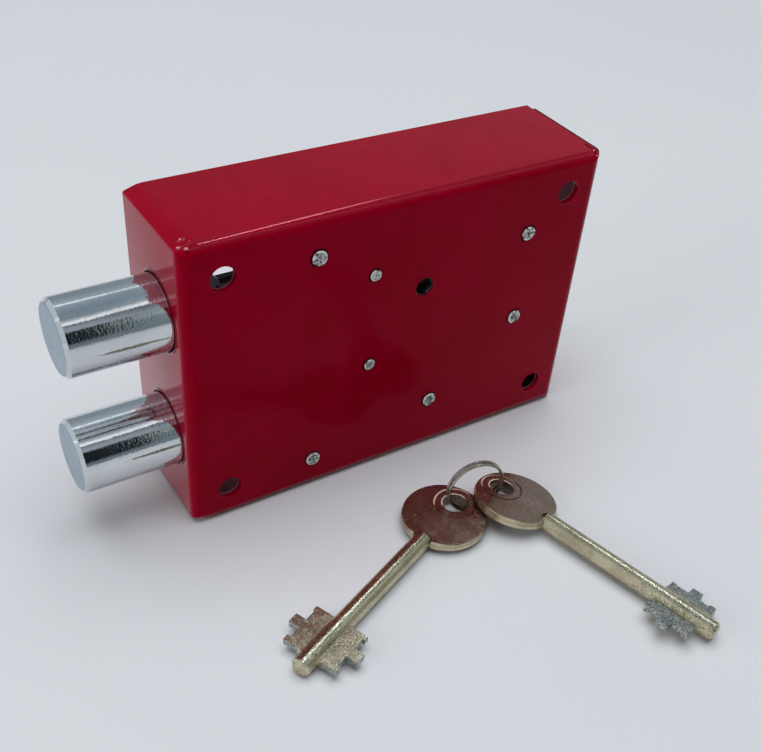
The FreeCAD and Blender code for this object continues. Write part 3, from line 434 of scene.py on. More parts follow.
def inside_group():
    """Masks on the case: Inside the walls, Seam at the top's far end for painted shade, Painted
    shade in a corner inside and on the cover arm's top edge, near End for painted light, top Bend.
    """
    group, tree, given, result = new_group(
        "inside", (("Vector", VECTOR, None),),
        (("Inside", FLOAT), ("Seam", FLOAT), ("Painted shade", FLOAT), ("End", FLOAT), ("Bend", FLOAT)))
    place = tree.add("ShaderNodeSeparateXYZ", Vector=given["Vector"])
    across, deep, up = (place.outputs[axis] for axis in "XYZ")
    level = 0.5 * CASE_TOP
    off_level = tree.math("SUBTRACT", up, level)
    walls = (tree.math("LESS_THAN", tree.math("ABSOLUTE", deep), -FRONT_Y - SKIN),
             tree.math("LESS_THAN", tree.math("ABSOLUTE", across), RIGHT_X - SKIN),
             tree.math("LESS_THAN", tree.math("ABSOLUTE", off_level), level - SKIN))
    inside = tree.math("MULTIPLY", walls[0], tree.math("MULTIPLY", walls[1], walls[2]))
    tree.feed(result["Inside"], inside)
    end = tree.between(across, *SEAM_EDGE)
    uppermost = tree.math("GREATER_THAN", up, CASE_TOP - SEAM_DEPTH)
    tree.feed(result["Seam"], tree.math("MULTIPLY", end, uppermost))
    tree.feed(result["End"], tree.math("LESS_THAN", across, LEFT_X + END_DEPTH))
    high = tree.math("GREATER_THAN", up, CASE_TOP - BEND_DEPTH)
    near = tree.math("LESS_THAN", deep, FRONT_Y + BEND_REACH)
    tree.feed(result["Bend"], tree.math("MULTIPLY", high, near))
    reach = tree.add("ShaderNodeVectorMath", {"operation": "DISTANCE"})
    tree.feed(reach.inputs[0], given["Vector"])
    tree.feed(reach.inputs[1], SHADED_CORNER)
    corner = tree.between(reach.outputs["Value"], *SHADED_CORNER_EDGE, 1.0, 0.0)
    # The cover arm's upper edge, painted black as shade
    arm_edge_shade = tree.math("COMPARE", up, ARM_TOP)
    arm_edge_shade.node.inputs[2].default_value = ARM_TOP_SLACK
    arm_edge_shade = tree.math("MULTIPLY", arm_edge_shade, tree.math("LESS_THAN", across, ARM_ROOT))
    arm_edge_shade = tree.math("MULTIPLY", arm_edge_shade, tree.math("GREATER_THAN", deep, ARM_FRONT))
    corner = tree.math("MULTIPLY", corner, inside)
    tree.feed(result["Painted shade"], tree.math("MAXIMUM", corner, arm_edge_shade))
    return group


INSIDE = inside_group()
DUST = (0.46, 0.08, 0.12, 1.0)
# Painted shade in the seam at the top's far end
SEAM_SHADE_RED = (0.04, 0.0, 0.006, 1.0)
# Painted light: the lighter red of the near end face
END_PAINTED_LIGHT_RED = (0.52, 0.0, 0.03, 1.0)
# Thin overspray inside the walls, paler than the outside paint so as to paint in light that reaches
# inside
OVERSPRAY_LIT_PALE = (0.56, 0.28, 0.33, 1.0)
OVERSPRAY_LIT_DEEP = (0.44, 0.20, 0.24, 1.0)
OVERSPRAY_DIRT = (0.2, 0.1, 0.1, 1.0)
OVERSPRAY_ROUGH = (0.6, 0.6, 0.6, 1.0)
# Black for the painted shade in a corner inside and on the cover arm's edge
CORNER_SHADE_BLACK = (0.012, 0.012, 0.014, 1.0)

# How much of its colour each place on the enamel takes: dust, the painted shade in the seam and the
# painted light on the near end
DUST_SHARE = 0.5
SEAM_SHADE_SHARE = 0.8
END_LIGHT_SHARE = 0.35

# How the clear coat grows with the slant of the view: from, to, least, most. The near end and the
# bend shine more.
COAT_SLANTED = (0.36, 0.50, 0.0, 0.04)
COAT_GLANCING = (0.5, 0.62, 0.0, 0.09)
COAT_NEAR_END = (0.70, 0.752, 0.0, 0.8)
BEND_COAT = 0.4
BEND_METALLIC = 0.2


def enamel(name, deep, light, peel):
    """Gloss enamel on folded sheet: orange peel, dust under the paint, thin overspray inside that
    is paler to paint in light, painted shade in the seam and a corner, painted light on the near
    end.
    """
    paint = Finish(name, Specular_Tint=(1.0, 0.02, 0.08, 1.0), IOR=1.42, Specular_IOR_Level=0.1,
                   Coat_IOR=1.5, Coat_Roughness=0.07)
    speck = paint.group(SPECKS, Vector=paint.place, Scale=420.0, Size=0.09, Share=0.08)
    tone = paint.group(TONE, Vector=paint.place, First=deep, Second=light, Scale=38.0,
                       Speck=(deep[0] * 0.75, 0.0, 0.008, 1.0), Specks=0.3)
    masks = paint.add("ShaderNodeGroup", {"node_tree": INSIDE}, Vector=paint.place)
    outside = paint.mix(paint.math("MULTIPLY", speck, DUST_SHARE), tone, DUST)
    # Painted shade along the seam at the top's far end
    seam = paint.math("MULTIPLY", masks.outputs["Seam"], SEAM_SHADE_SHARE)
    outside = paint.mix(seam, outside, SEAM_SHADE_RED)
    # Inside the walls: thin overspray, pale enough to paint in the light that reaches inside
    overspray_lit = paint.group(TONE, Vector=paint.place, First=OVERSPRAY_LIT_PALE, Second=OVERSPRAY_LIT_DEEP,
                            Scale=160.0, Speck=OVERSPRAY_DIRT, Specks=0.6)
    # Painted light: the near end face is mixed towards a lighter red
    end_light = paint.math("MULTIPLY", masks.outputs["End"], END_LIGHT_SHARE)
    lit_end = paint.mix(end_light, outside, END_PAINTED_LIGHT_RED)
    painted = paint.mix(masks.outputs["Inside"], lit_end, overspray_lit)
    # Painted shade: black in a corner inside and on the cover arm's edge, kept off the near end
    elsewhere = paint.math("LESS_THAN", masks.outputs["End"], 0.5)
    painted_shade = paint.math("MULTIPLY", masks.outputs["Painted shade"], elsewhere)
    paint.wear("Base Color", paint.mix(painted_shade, painted, CORNER_SHADE_BLACK))
    gloss = paint.group(MOTTLE, Vector=paint.place, Scale=90.0, Low=0.07, High=0.13)
    paint.wear("Roughness", paint.mix(masks.outputs["Inside"], gloss, OVERSPRAY_ROUGH))
    waves = paint.noise(paint.place, 420.0, 3.0)
    broad = paint.noise(paint.place, 55.0, 2.0)
    height = paint.math("ADD", paint.math("MULTIPLY", waves, peel),
                        paint.math("MULTIPLY", broad, 1.4))
    height = paint.math("ADD", height, paint.math("MULTIPLY", speck, 0.5))
    paint.bump(height, 0.00005)
    glance = paint.add("ShaderNodeLayerWeight", Blend=0.5).outputs["Facing"]
    low = paint.math("ADD", paint.between(glance, *COAT_SLANTED),
                     paint.between(glance, *COAT_GLANCING))
    steep = paint.between(glance, *COAT_NEAR_END)
    coat = paint.math("ADD", low, paint.math("MULTIPLY", masks.outputs["End"], steep))
    coat = paint.math("MAXIMUM", coat, paint.math("MULTIPLY", masks.outputs["Bend"], BEND_COAT))
    paint.wear("Metallic", paint.math("MULTIPLY", masks.outputs["Bend"], BEND_METALLIC))
    covered = paint.math("SUBTRACT", 1.0, masks.outputs["Inside"])
    paint.wear("Coat Weight", paint.math("MULTIPLY", coat, covered))
    return paint.material


CHROME_PALE = (0.70, 0.72, 0.74, 1.0)
CHROME_GREY = (0.63, 0.65, 0.67, 1.0)
CHROME_SPECK = (0.50, 0.51, 0.53, 1.0)
CHROME_END = (0.37, 0.46, 0.53, 1.0)
GREASE = (0.03, 0.03, 0.032, 1.0)


def chrome(name):
    """Chrome on turned steel: slightly ringed and pebbled, satin on the end face, greasy inside."""
    finish = Finish(name, Metallic=1.0)
    parts = finish.add("ShaderNodeSeparateXYZ", Vector=finish.place)
    tip = finish.math("LESS_THAN", parts.outputs["X"], BOLT_FACE_X)
    tone = finish.group(TONE, Vector=finish.place, First=CHROME_PALE, Second=CHROME_GREY,
                        Scale=50.0, Speck=CHROME_SPECK, Specks=0.15)
    tone = finish.mix(tip, tone, CHROME_END)
    greased = finish.between(parts.outputs["X"], *BOLT_GREASE)
    finish.wear("Base Color", finish.mix(greased, tone, GREASE))
    polish = finish.group(MOTTLE, Vector=finish.place, Scale=140.0, Low=0.03, High=0.08)
    satin = finish.group(MOTTLE, Vector=finish.place, Scale=260.0, Low=0.32, High=0.45)
    finish.wear("Roughness", finish.between(tip, 0.0, 1.0, polish, satin))
    rings = finish.group(GRAIN, Vector=finish.place, Stretch=(1.0, 0.12, 0.12), Scale=1100.0)
    pebble = finish.noise(finish.place, 1500.0, 2.0)
    slow = finish.noise(finish.place, 130.0, 2.0)
    height = finish.math("ADD", finish.math("MULTIPLY", rings, 0.25),
                         finish.math("MULTIPLY", pebble, 0.8))
    height = finish.math("ADD", height, finish.math("MULTIPLY", slow, 1.6))
    finish.bump(height, 0.000022)
    return finish.material


def plain_steel(name, first, second, stretch, rough, metallic=1.0):
    """Turned, pressed or plated steel with a visible grain."""
    finish = Finish(name, Metallic=metallic)
    finish.wear("Base Color", finish.group(TONE, Vector=finish.place, First=first, Second=second,
                                           Scale=110.0, Speck=(0.16, 0.15, 0.14, 1.0), Specks=0.5))
    finish.wear("Roughness", finish.group(MOTTLE, Vector=finish.place, Scale=300.0,
                                          Low=rough - 0.08, High=rough + 0.1))
    finish.bump(finish.group(GRAIN, Vector=finish.place, Stretch=stretch, Scale=1300.0), 0.00002)
    return finish.material


def peened_metal(name, pale, dark, scale, share):
    """Hammered rivet metal: pale, with about that share of it in dark pits and grooves."""
    finish = Finish(name, Metallic=0.35)
    pits = finish.noise(finish.place, scale, 2.0, 0.55)
    fine = finish.noise(finish.place, 2.3 * scale, 1.0)
    both = finish.math("ADD", finish.math("MULTIPLY", pits, 0.7),
                       finish.math("MULTIPLY", fine, 0.3))
    worn = finish.between(both, share - 0.045, share + 0.045, 1.0, 0.0)
    tone = finish.group(TONE, Vector=finish.place, First=pale,
                        Second=tuple(0.72 * item for item in pale), Scale=700.0, Speck=dark,
                        Specks=0.3)
    finish.wear("Base Color", finish.mix(worn, tone, dark))
    finish.wear("Roughness", finish.group(MOTTLE, Vector=finish.place, Scale=900.0, Low=0.25,
                                          High=0.5))
    finish.bump(both, 0.00018)
    return finish.material


def drop_paint_with_highlights(name, deep, pale):
    """A bead of enamel that has shrunk, with pale pink spots in it that are painted highlights."""
    finish = Finish(name, Coat_Weight=0.4, Coat_Roughness=0.08)
    painted_glints = finish.between(finish.noise(finish.place, 1700.0, 1.0), 0.47, 0.56)
    finish.wear("Base Color", finish.mix(painted_glints, deep, pale))
    finish.wear("Roughness", finish.group(MOTTLE, Vector=finish.place, Scale=900.0, Low=0.1,
                                          High=0.3))
    finish.bump(finish.noise(finish.place, 1400.0, 2.0), 0.00008)
    return finish.material


KEY_GOLD = (0.61, 0.535, 0.365, 1.0)
KEY_GOLD_DEEP = (0.45, 0.39, 0.26, 1.0)
KEY_GOLD_SPECK = (0.24, 0.18, 0.10, 1.0)
# The bows' flat faces: dusky red-brown, a painted reflection of the red case that they face
BOW_REFLECTED_RED = (0.42, 0.275, 0.24, 1.0)
BOW_REFLECTED_RED_DEEP = (0.33, 0.235, 0.165, 1.0)
BOW_REFLECTED_RED_SPECK = (0.22, 0.15, 0.11, 1.0)
ZINC_PALE = (0.66, 0.67, 0.62, 1.0)
ZINC_DEEP = (0.14, 0.15, 0.145, 1.0)
ZINC_SPECK = (0.05, 0.06, 0.06, 1.0)
PIT_BROWN = (0.07, 0.05, 0.045, 1.0)
# Near-white gold specks: painted glints on the pitted stem by the bits
GLINT_GOLD = (1.0, 0.9, 0.76, 1.0)
# Painted shade and painted highlight on the engraving, the hole's lip and the hole's wall
GROOVE_PAINTED_SHADE = (0.05, 0.032, 0.028, 1.0)
GROOVE_PAINTED_HIGHLIGHT = (0.95, 0.76, 0.68, 1.0)


def key_metal(name, pose, milled_side):
    """Nickel on a zinc casting: golden stem, bow faces dusky red-brown as a painted reflection of
    the red case, painted glints by the bits, painted highlight and shade on the engraving, bare
    zinc where the bits are cut.

    Positions are the key's own: X along the stem from the middle of the bow, Z out of its faces.
    milled_side is the face on which the bits' zinc is bare."""
    finish = Finish(name)
    turn = tuple(math.radians(angle) for angle in pose["angles"])
    middle = tuple(item * MM for item in pose["middle"])
    lie = finish.add("ShaderNodeMapping", {"vector_type": "TEXTURE"}, Vector=finish.place,
                     Location=middle, Rotation=turn)
    lengthways = lie.outputs["Vector"]
    along = finish.add("ShaderNodeSeparateXYZ", Vector=lengthways)
    facing = finish.add("ShaderNodeVectorRotate", {"rotation_type": "EULER_XYZ", "invert": True},
                        Vector=finish.add("ShaderNodeTexCoord").outputs["Normal"], Rotation=turn)
    faces = finish.add("ShaderNodeSeparateXYZ", Vector=facing.outputs["Vector"])
    flatness = finish.math("ABSOLUTE", faces.outputs["Z"])
    aside = finish.math("ABSOLUTE", along.outputs["Y"])
    bit_zone = finish.math("MULTIPLY", finish.math("GREATER_THAN", aside, STEM_REACH),
                           finish.math("GREATER_THAN", along.outputs["X"], BITS_FROM))
    level = finish.math("MULTIPLY", faces.outputs["Z"], milled_side)
    cut = finish.between(level, -0.6, -0.3, 1.0, 0.0)
    edge = finish.between(flatness, 0.5, 0.8, 1.0, 0.0)
    bare = finish.math("MULTIPLY", bit_zone, finish.math("MAXIMUM", cut, edge))
    bow_face = finish.math("MULTIPLY", finish.between(flatness, 0.85, 0.97),
                           finish.between(along.outputs["X"], *BOW_EDGE, 1.0, 0.0))
    golden = finish.group(TONE, Vector=lengthways, First=KEY_GOLD, Second=KEY_GOLD_DEEP,
                          Scale=140.0, Speck=KEY_GOLD_SPECK, Specks=0.3)
    reflected_red = finish.group(TONE, Vector=lengthways, First=BOW_REFLECTED_RED, Second=BOW_REFLECTED_RED_DEEP,
                         Scale=120.0, Speck=BOW_REFLECTED_RED_SPECK, Specks=0.3)
    zinc = finish.group(TONE, Vector=lengthways, First=ZINC_PALE, Second=ZINC_DEEP,
                        Scale=2000.0, Speck=ZINC_SPECK, Specks=0.5)
    # Painted glints: near-white gold specks over the pitted part of the stem
    glints = finish.between(finish.noise(lengthways, 1900.0, 1.0), 0.56, 0.66)
    holes = finish.between(finish.noise(lengthways, 1500.0, 1.0), 0.42, 0.35)
    bitted = finish.between(along.outputs["X"], *PITTED, 0.06, 0.55)
    engraved = finish.add("ShaderNodeGroup", {"node_tree": ENGRAVING}, Vector=lengthways,
                          Toward=key_heading(pose, HIGHLIGHT_SIDE))
    # The bow's flat faces take the painted reflection of the red case
    cast = finish.mix(bow_face, golden, reflected_red)
    cast = finish.mix(finish.math("MULTIPLY", holes, bitted), cast, PIT_BROWN)
    cast = finish.mix(finish.math("MULTIPLY", glints, bitted), cast, GLINT_GOLD)
    tone = finish.mix(bare, cast, zinc)
    # Painted highlight on one side of the engraved circle and the lip, made less metallic; painted
    # shade on the other side and on the hole's wall
    lit = finish.math("MULTIPLY", engraved.outputs["Light"], bow_face)
    shaded = finish.math("MULTIPLY", engraved.outputs["Dark"], bow_face)
    wall = finish.math("MULTIPLY", engraved.outputs["Inside"],
                       finish.between(flatness, 0.3, 0.6, 0.85, 0.0))
    shaded = finish.math("MAXIMUM", shaded, wall)
    tone = finish.mix(finish.math("MULTIPLY", shaded, 0.85), tone, GROOVE_PAINTED_SHADE)
    finish.wear("Base Color", finish.mix(lit, tone, GROOVE_PAINTED_HIGHLIGHT))
    finish.wear("Metallic", finish.between(lit, 0.0, 1.0, 0.93, 0.15))
    bright = finish.group(MOTTLE, Vector=lengthways, Scale=350.0, Low=0.19, High=0.32)
    dull = finish.group(MOTTLE, Vector=lengthways, Scale=700.0, Low=0.34, High=0.52)
    finish.wear("Roughness", finish.between(bare, 0.0, 1.0, bright, dull))
    casting = finish.noise(lengthways, 900.0, 3.0, 0.6)
    grit = finish.noise(lengthways, 2300.0, 2.0, 0.6)
    pits = finish.group(SPECKS, Vector=lengthways, Scale=1300.0, Size=0.35, Share=0.12)
    milling = finish.group(GRAIN, Vector=lengthways, Stretch=(1.0, 0.15, 1.0), Scale=2600.0)
    bits = finish.between(along.outputs["X"], *GRITTY, 0.18, 1.2)
    casting = finish.math("ADD", finish.math("MULTIPLY", casting, 0.5),
                          finish.math("MULTIPLY", grit, bits))
    skin = finish.math("SUBTRACT", casting, finish.math("MULTIPLY", pits, 1.1))
    rough = finish.math("MULTIPLY", milling, finish.math("MULTIPLY", bare, 5.0))
    finish.bump(finish.math("ADD", skin, rough), 0.00003)
    return finish.material


WIRE_PALE = (0.55, 0.49, 0.41, 1.0)
WIRE_DEEP = (0.36, 0.31, 0.26, 1.0)
WIRE_SPECK = (0.14, 0.11, 0.08, 1.0)


def wire_metal(name):
    """Bright nickel on drawn wire."""
    finish = Finish(name, Metallic=1.0)
    finish.wear("Base Color", finish.group(TONE, Vector=finish.place, First=WIRE_PALE,
                                           Second=WIRE_DEEP, Scale=260.0, Speck=WIRE_SPECK,
                                           Specks=0.6))
    finish.wear("Roughness", finish.group(MOTTLE, Vector=finish.place, Scale=500.0, Low=0.16,
                                          High=0.3))
    finish.bump(finish.noise(finish.place, 1800.0, 2.0), 0.00001)
    return finish.material


# Finishes


RED_DEEP = (0.278, 0.0, 0.012, 1.0)
RED_LIGHT = (0.318, 0.0, 0.017, 1.0)
ENAMEL = enamel("case_paint", RED_DEEP, RED_LIGHT, 1.0)
COVER_ENAMEL = enamel("cover_paint", RED_DEEP, (0.29, 0.0, 0.014, 1.0), 1.3)
# Black for the bush in the tip's hole: painted shade
BUSH_SHADE_BLACK = plain_steel("bush_painted_shade", (0.012, 0.013, 0.013, 1.0), (0.006, 0.006, 0.007, 1.0),
                         (1.0, 0.2, 1.0), 0.5, metallic=0.0)
# Near-black enamel for painted shade round the tails and in the bolts' holes
SHADE_ENAMEL = enamel("painted_shade_paint", (0.05, 0.0, 0.004, 1.0), (0.03, 0.0, 0.003, 1.0), 1.0)
FIRST_NICKEL = key_metal("first_key_nickel", FIRST_KEY, 1.0)
SECOND_NICKEL = key_metal("second_key_nickel", SECOND_KEY, -1.0)
PEENED = peened_metal("peened_steel", (0.66, 0.72, 0.70, 1.0), (0.04, 0.055, 0.04, 1.0),
                      760.0, 0.49)
# The tails' rims: near white, a painted highlight for the glints of the hammered facets
PEENED_RIM_HIGHLIGHT = peened_metal("peened_rim_highlight", (1.0, 0.97, 0.96, 1.0), (0.10, 0.02, 0.03, 1.0),
                          620.0, 0.44)
# Paint for the corner drops, with pale pink spots as painted highlights
DROP_HIGHLIGHT_PAINT = drop_paint_with_highlights("drop_paint_with_highlights", RED_DEEP, (0.90, 0.30, 0.36, 1.0))
FINISHES = {
    "case_paint": ENAMEL,
    "cover_paint": COVER_ENAMEL,
    "bolt_chrome": chrome("bolt_chrome"),
    "pillar_steel": plain_steel("pillar_steel", (0.62, 0.63, 0.62, 1.0), (0.5, 0.5, 0.49, 1.0),
                                (0.2, 1.0, 0.2), 0.34),
    "screw_zinc": plain_steel("screw_zinc", (0.76, 0.77, 0.76, 1.0), (0.64, 0.66, 0.66, 1.0),
                              (1.0, 0.3, 1.0), 0.3),
    "plate_steel": plain_steel("plate_steel", (0.17, 0.18, 0.19, 1.0), (0.09, 0.095, 0.10, 1.0),
                               (0.1, 1.0, 1.0), 0.36),
    "hard_steel": plain_steel("hard_steel", (0.2, 0.2, 0.21, 1.0), (0.12, 0.12, 0.13, 1.0),
                              (1.0, 1.0, 0.15), 0.45),
    "spring_steel": plain_steel("spring_steel", (0.5, 0.49, 0.47, 1.0), (0.36, 0.36, 0.37, 1.0),
                                (0.15, 1.0, 1.0), 0.28),
    "lever_brass": plain_steel("lever_brass", (0.26, 0.19, 0.09, 1.0), (0.12, 0.09, 0.045, 1.0),
                               (0.1, 1.0, 1.0), 0.32),
    "key_nickel": FIRST_NICKEL,
    "ring_nickel": wire_metal("ring_nickel"),
}


def finish_nodes():
    for part in frame["record"]["subparts"]:
        node = nodes[part["node"]]
        material = SECOND_NICKEL if part["node"] == "key_2" else FINISHES[part["material_slot"]]
        node.data.materials.clear()
        node.data.materials.append(material)


# Peened tails of the pillars and pins


def peened_tail(name, radius):
    """A hammered rivet tail facing +Z: an uneven rim, a sunk ring and a star of struck facets."""
    bpy.ops.mesh.primitive_circle_add(vertices=TAIL_SIDES, radius=radius, fill_type="NGON",
                                      location=(0.0, 0.0, 0.0))
    piece = named(name)
    rise = 0.1 * radius
    bpy.ops.object.mode_set(mode="EDIT")
    bpy.ops.mesh.select_all(action="SELECT")
    bpy.ops.mesh.extrude_region_move(TRANSFORM_OT_translate={"value": (0.0, 0.0, rise)})
    for thickness, depth in TAIL_STEPS:
        bpy.ops.mesh.inset(thickness=thickness * radius, depth=depth * radius)
    bpy.ops.mesh.poke(offset=0.04 * radius)
    sector = 2 * math.pi / TAIL_SECTORS
    hub = 0.5 * radius

    def struck(face):
        middle = face.calc_center_median()
        if len(face.verts) != 3 or middle.xy.length > hub:
            return False
        return int((math.atan2(middle.y, middle.x) + math.pi) / sector) % 2 == 0

    pick_faces(piece, struck)
    bpy.ops.mesh.inset(thickness=0.02 * radius, depth=-0.10 * radius)
    bpy.ops.mesh.select_all(action="SELECT")
    bpy.ops.mesh.normals_make_consistent(inside=False)
    bpy.ops.object.mode_set(mode="OBJECT")
    return piece


def finish_tail(piece, centre, radius, seed):
    """Knocks one tail out of true, rounds it off, and gives its rim a near-white finish that is a
    painted highlight.
    """
    only(piece)
    bpy.ops.object.mode_set(mode="EDIT")
    bpy.ops.mesh.select_all(action="SELECT")
    bpy.ops.transform.vertex_random(offset=TAIL_WANDER * radius, seed=seed)
    bpy.ops.object.mode_set(mode="OBJECT")
    modify(piece, "BEVEL", width=0.03 * radius, segments=2, limit_method="ANGLE",
           angle_limit=math.radians(30))
    smooth(piece, 40)
    dress(piece, "case", PEENED)
    piece.data.materials.append(PEENED_RIM_HIGHLIGHT)
    only(piece)
    bpy.ops.object.mode_set(mode="EDIT")
    middle = Vector(centre)
    rim = 0.74 * radius
    pick_faces(piece, lambda face: (face.calc_center_median() - middle).xz.length > rim)
    piece.active_material_index = 1
    bpy.ops.object.material_slot_assign()
    bpy.ops.object.mode_set(mode="OBJECT")


def tail_shade_ring(name, centre, radius):
    """A dark ring of painted shade round a tail, where it leaves a gap in the paint, wider on its
    upper left.
    """
    place = (centre[0] - SHADE_SHIFT, FRONT_Y, centre[2] + SHADE_SHIFT)
    bpy.ops.mesh.primitive_torus_add(major_radius=radius + SHADE_SHIFT, minor_radius=SHADE_RING_WIDTH,
                                     major_segments=56, minor_segments=8, location=place,
                                     rotation=(math.pi / 2, 0.0, 0.0))
    piece = named(name)
    settle(piece)
    bpy.ops.object.mode_set(mode="EDIT")
    bpy.ops.mesh.select_all(action="SELECT")
    bpy.ops.transform.resize(value=(1.0, 0.08, 1.0), center_override=place)
    bpy.ops.transform.vertex_random(offset=0.03 * MM, seed=int(radius / MM * 10))
    bpy.ops.object.mode_set(mode="OBJECT")
    smooth(piece, 180)
    dress(piece, "case", SHADE_ENAMEL)


def add_peened_tails():
    forwards = Euler((math.pi / 2, 0.0, 0.0)).to_matrix()
    for radius, places, word in ((PILLAR_TAIL_RADIUS, PILLAR_TAILS, "pillar"),
                                 (PIN_TAIL_RADIUS, PIN_TAILS, "pin")):
        master = peened_tail("peened_" + word + "_tail_1", radius)
        for count, (across, up) in reversed(list(enumerate(places, start=1))):
            turn = forwards @ Euler((0.0, 0.0, 0.7 * count)).to_matrix()
            place = (across * MM, TAIL_LEVEL, up * MM)
            if count > 1:
                piece = copy_of(master, "peened_%s_tail_%d" % (word, count), place, turn.to_euler())
            else:
                piece = master
                piece.location = place
                piece.rotation_euler = turn.to_euler()
                settle(piece)
            finish_tail(piece, place, radius, count)
            # A ring of painted shade round the tail
            tail_shade_ring("%s_tail_gap_%d" % (word, count), place, radius)


# Paint: rims of the holes, near black as painted shade round the bolts, and corner drops with
# painted highlights, with the black bush that paints shade in the tip's hole


def paint_rim(name, centre, radius, axis, material=ENAMEL):
    """The soft edge that thick paint leaves round a hole along the Y or the X axis."""
    turn = (math.pi / 2, 0.0, 0.0) if axis == "Y" else (0.0, math.pi / 2, 0.0)
    bpy.ops.mesh.primitive_torus_add(major_radius=radius, minor_radius=RIM_THICKNESS,
                                     major_segments=64, minor_segments=10, location=centre,
                                     rotation=turn)
    piece = named(name)
    settle(piece)
    bpy.ops.object.mode_set(mode="EDIT")
    bpy.ops.mesh.select_all(action="SELECT")
    squeeze = (1.0, 0.55, 1.0) if axis == "Y" else (0.55, 1.0, 1.0)
    bpy.ops.transform.resize(value=squeeze, center_override=centre)
    bpy.ops.object.mode_set(mode="OBJECT")
    smooth(piece, 180)
    dress(piece, "case", material)


def add_paint_rims():
    for count, (across, up) in enumerate(MOUNT_HOLES, start=1):
        place = (across * MM, FRONT_Y, up * MM)
        paint_rim("mount_hole_rim_%d" % count, place, MOUNT_RIM_RADIUS, "Y")
    place = (TIP_HOLE[0] * MM, FRONT_Y, TIP_HOLE[1] * MM)
    paint_rim("tip_hole_rim", place, TIP_RIM_RADIUS, "Y")
    # Round the bolts the rims are near black: painted shade in the gap between bolt and hole
    for count, up in enumerate(BOLT_LEVELS, start=1):
        place = (LEFT_X, BOLT_Y, up * MM)
        paint_rim("bolt_hole_rim_%d" % count, place, BOLT_RIM_RADIUS, "X", SHADE_ENAMEL)


def add_tip_liner():
    """The bush that guides the key's tip, black to paint the shade deep in its hole."""
    place = (TIP_HOLE[0] * MM, FRONT_Y + 0.15 * MM, TIP_HOLE[1] * MM)
    bpy.ops.mesh.primitive_circle_add(vertices=48, radius=BUSH_RADIUS, fill_type="NOTHING",
                                      location=place, rotation=(math.pi / 2, 0.0, 0.0))
    piece = named("tip_bush")
    settle(piece)
    bpy.ops.object.mode_set(mode="EDIT")
    bpy.ops.mesh.select_mode(type="EDGE")
    bpy.ops.mesh.select_all(action="SELECT")
    bpy.ops.mesh.extrude_region_move(TRANSFORM_OT_translate={"value": (0.0, BUSH_DEPTH, 0.0)})
    bpy.ops.mesh.select_all(action="SELECT")
    bpy.ops.mesh.normals_make_consistent(inside=False)
    bpy.ops.object.mode_set(mode="OBJECT")
    modify(piece, "SOLIDIFY", thickness=BUSH_WALL, offset=-1.0)
    modify(piece, "BEVEL", width=0.08 * MM, segments=2, limit_method="ANGLE",
           angle_limit=math.radians(40))
    smooth(piece, 50)
    dress(piece, "case", BUSH_SHADE_BLACK)


def paint_drop(name, place, size):
    """A bead of paint that has run into a corner, dished where it shrank."""
    bpy.ops.mesh.primitive_uv_sphere_add(segments=24, ring_count=14, radius=size, location=place)
    piece = named(name)
    settle(piece)
    bpy.ops.object.mode_set(mode="EDIT")
    bpy.ops.mesh.select_all(action="SELECT")
    bpy.ops.transform.resize(value=(1.2, 0.9, 0.9), center_override=place)
    middle = Vector(place)
    crown = Vector(DISH_FACES).normalized()

    def on_crown(face):
        return (face.calc_center_median() - middle).normalized().dot(crown) > DISH_EDGE

    pick_faces(piece, on_crown)
    bpy.ops.mesh.inset(thickness=0.15 * size, depth=-0.2 * size)
    bpy.ops.object.mode_set(mode="OBJECT")
    modify(piece, "SUBSURF", levels=1, render_levels=1)
    smooth(piece, 180)
    dress(piece, "case", DROP_HIGHLIGHT_PAINT)


def add_corner_drops():
    for word, drops, end, inwards in (("left", LEFT_DROPS, LEFT_X, MM),
                                      ("right", RIGHT_DROPS, RIGHT_X, -MM)):
        for count, (across, deep, down, size) in enumerate(drops, start=1):
            place = (end + across * inwards, FRONT_Y + deep * MM, CASE_TOP - down * MM)
            paint_drop("%s_drop_%d" % (word, count), place, size * MM)


# Casting marks on the keys


def on_key(pose, point):
    turn = Euler(tuple(math.radians(angle) for angle in pose["angles"])).to_matrix()
    return (Vector(pose["middle"]) + turn @ Vector(point)) * MM


def parting_line(name, body, pose, material):
    """The fine ridge that the mould leaves round a bow."""
    turn = Euler(tuple(math.radians(angle) for angle in pose["angles"]))
    bpy.ops.mesh.primitive_torus_add(major_radius=RIDGE_RADIUS, minor_radius=RIDGE_THICKNESS,
                                     major_segments=96, minor_segments=6,
                                     location=on_key(pose, (0.0, 0.0, RIDGE_LIFT)), rotation=turn)
    piece = named(name)
    settle(piece)
    smooth(piece, 180)
    dress(piece, body, material)


def add_key_marks():
    parting_line("first_bow_parting_line", "first_key", FIRST_KEY, FIRST_NICKEL)
    parting_line("second_bow_parting_line", "second_key", SECOND_KEY, SECOND_NICKEL)


# Surroundings


def set_floor():
    bpy.ops.mesh.primitive_plane_add(size=6.0, location=(0.0, 0.0, -0.0002))
    floor = named("floor")
    surface = Finish("floor_paper", Specular_IOR_Level=0.15)
    tone = surface.group(TONE, Vector=surface.place, First=(0.74, 0.77, 0.805, 1.0),
                         Second=(0.72, 0.755, 0.795, 1.0), Scale=3.0,
                         Speck=(0.7, 0.7, 0.7, 1.0), Specks=0.0)
    surface.wear("Base Color", tone)
    surface.wear("Roughness", surface.group(MOTTLE, Vector=surface.place, Scale=12.0, Low=0.55,
                                            High=0.75))
    floor.data.materials.append(surface.material)


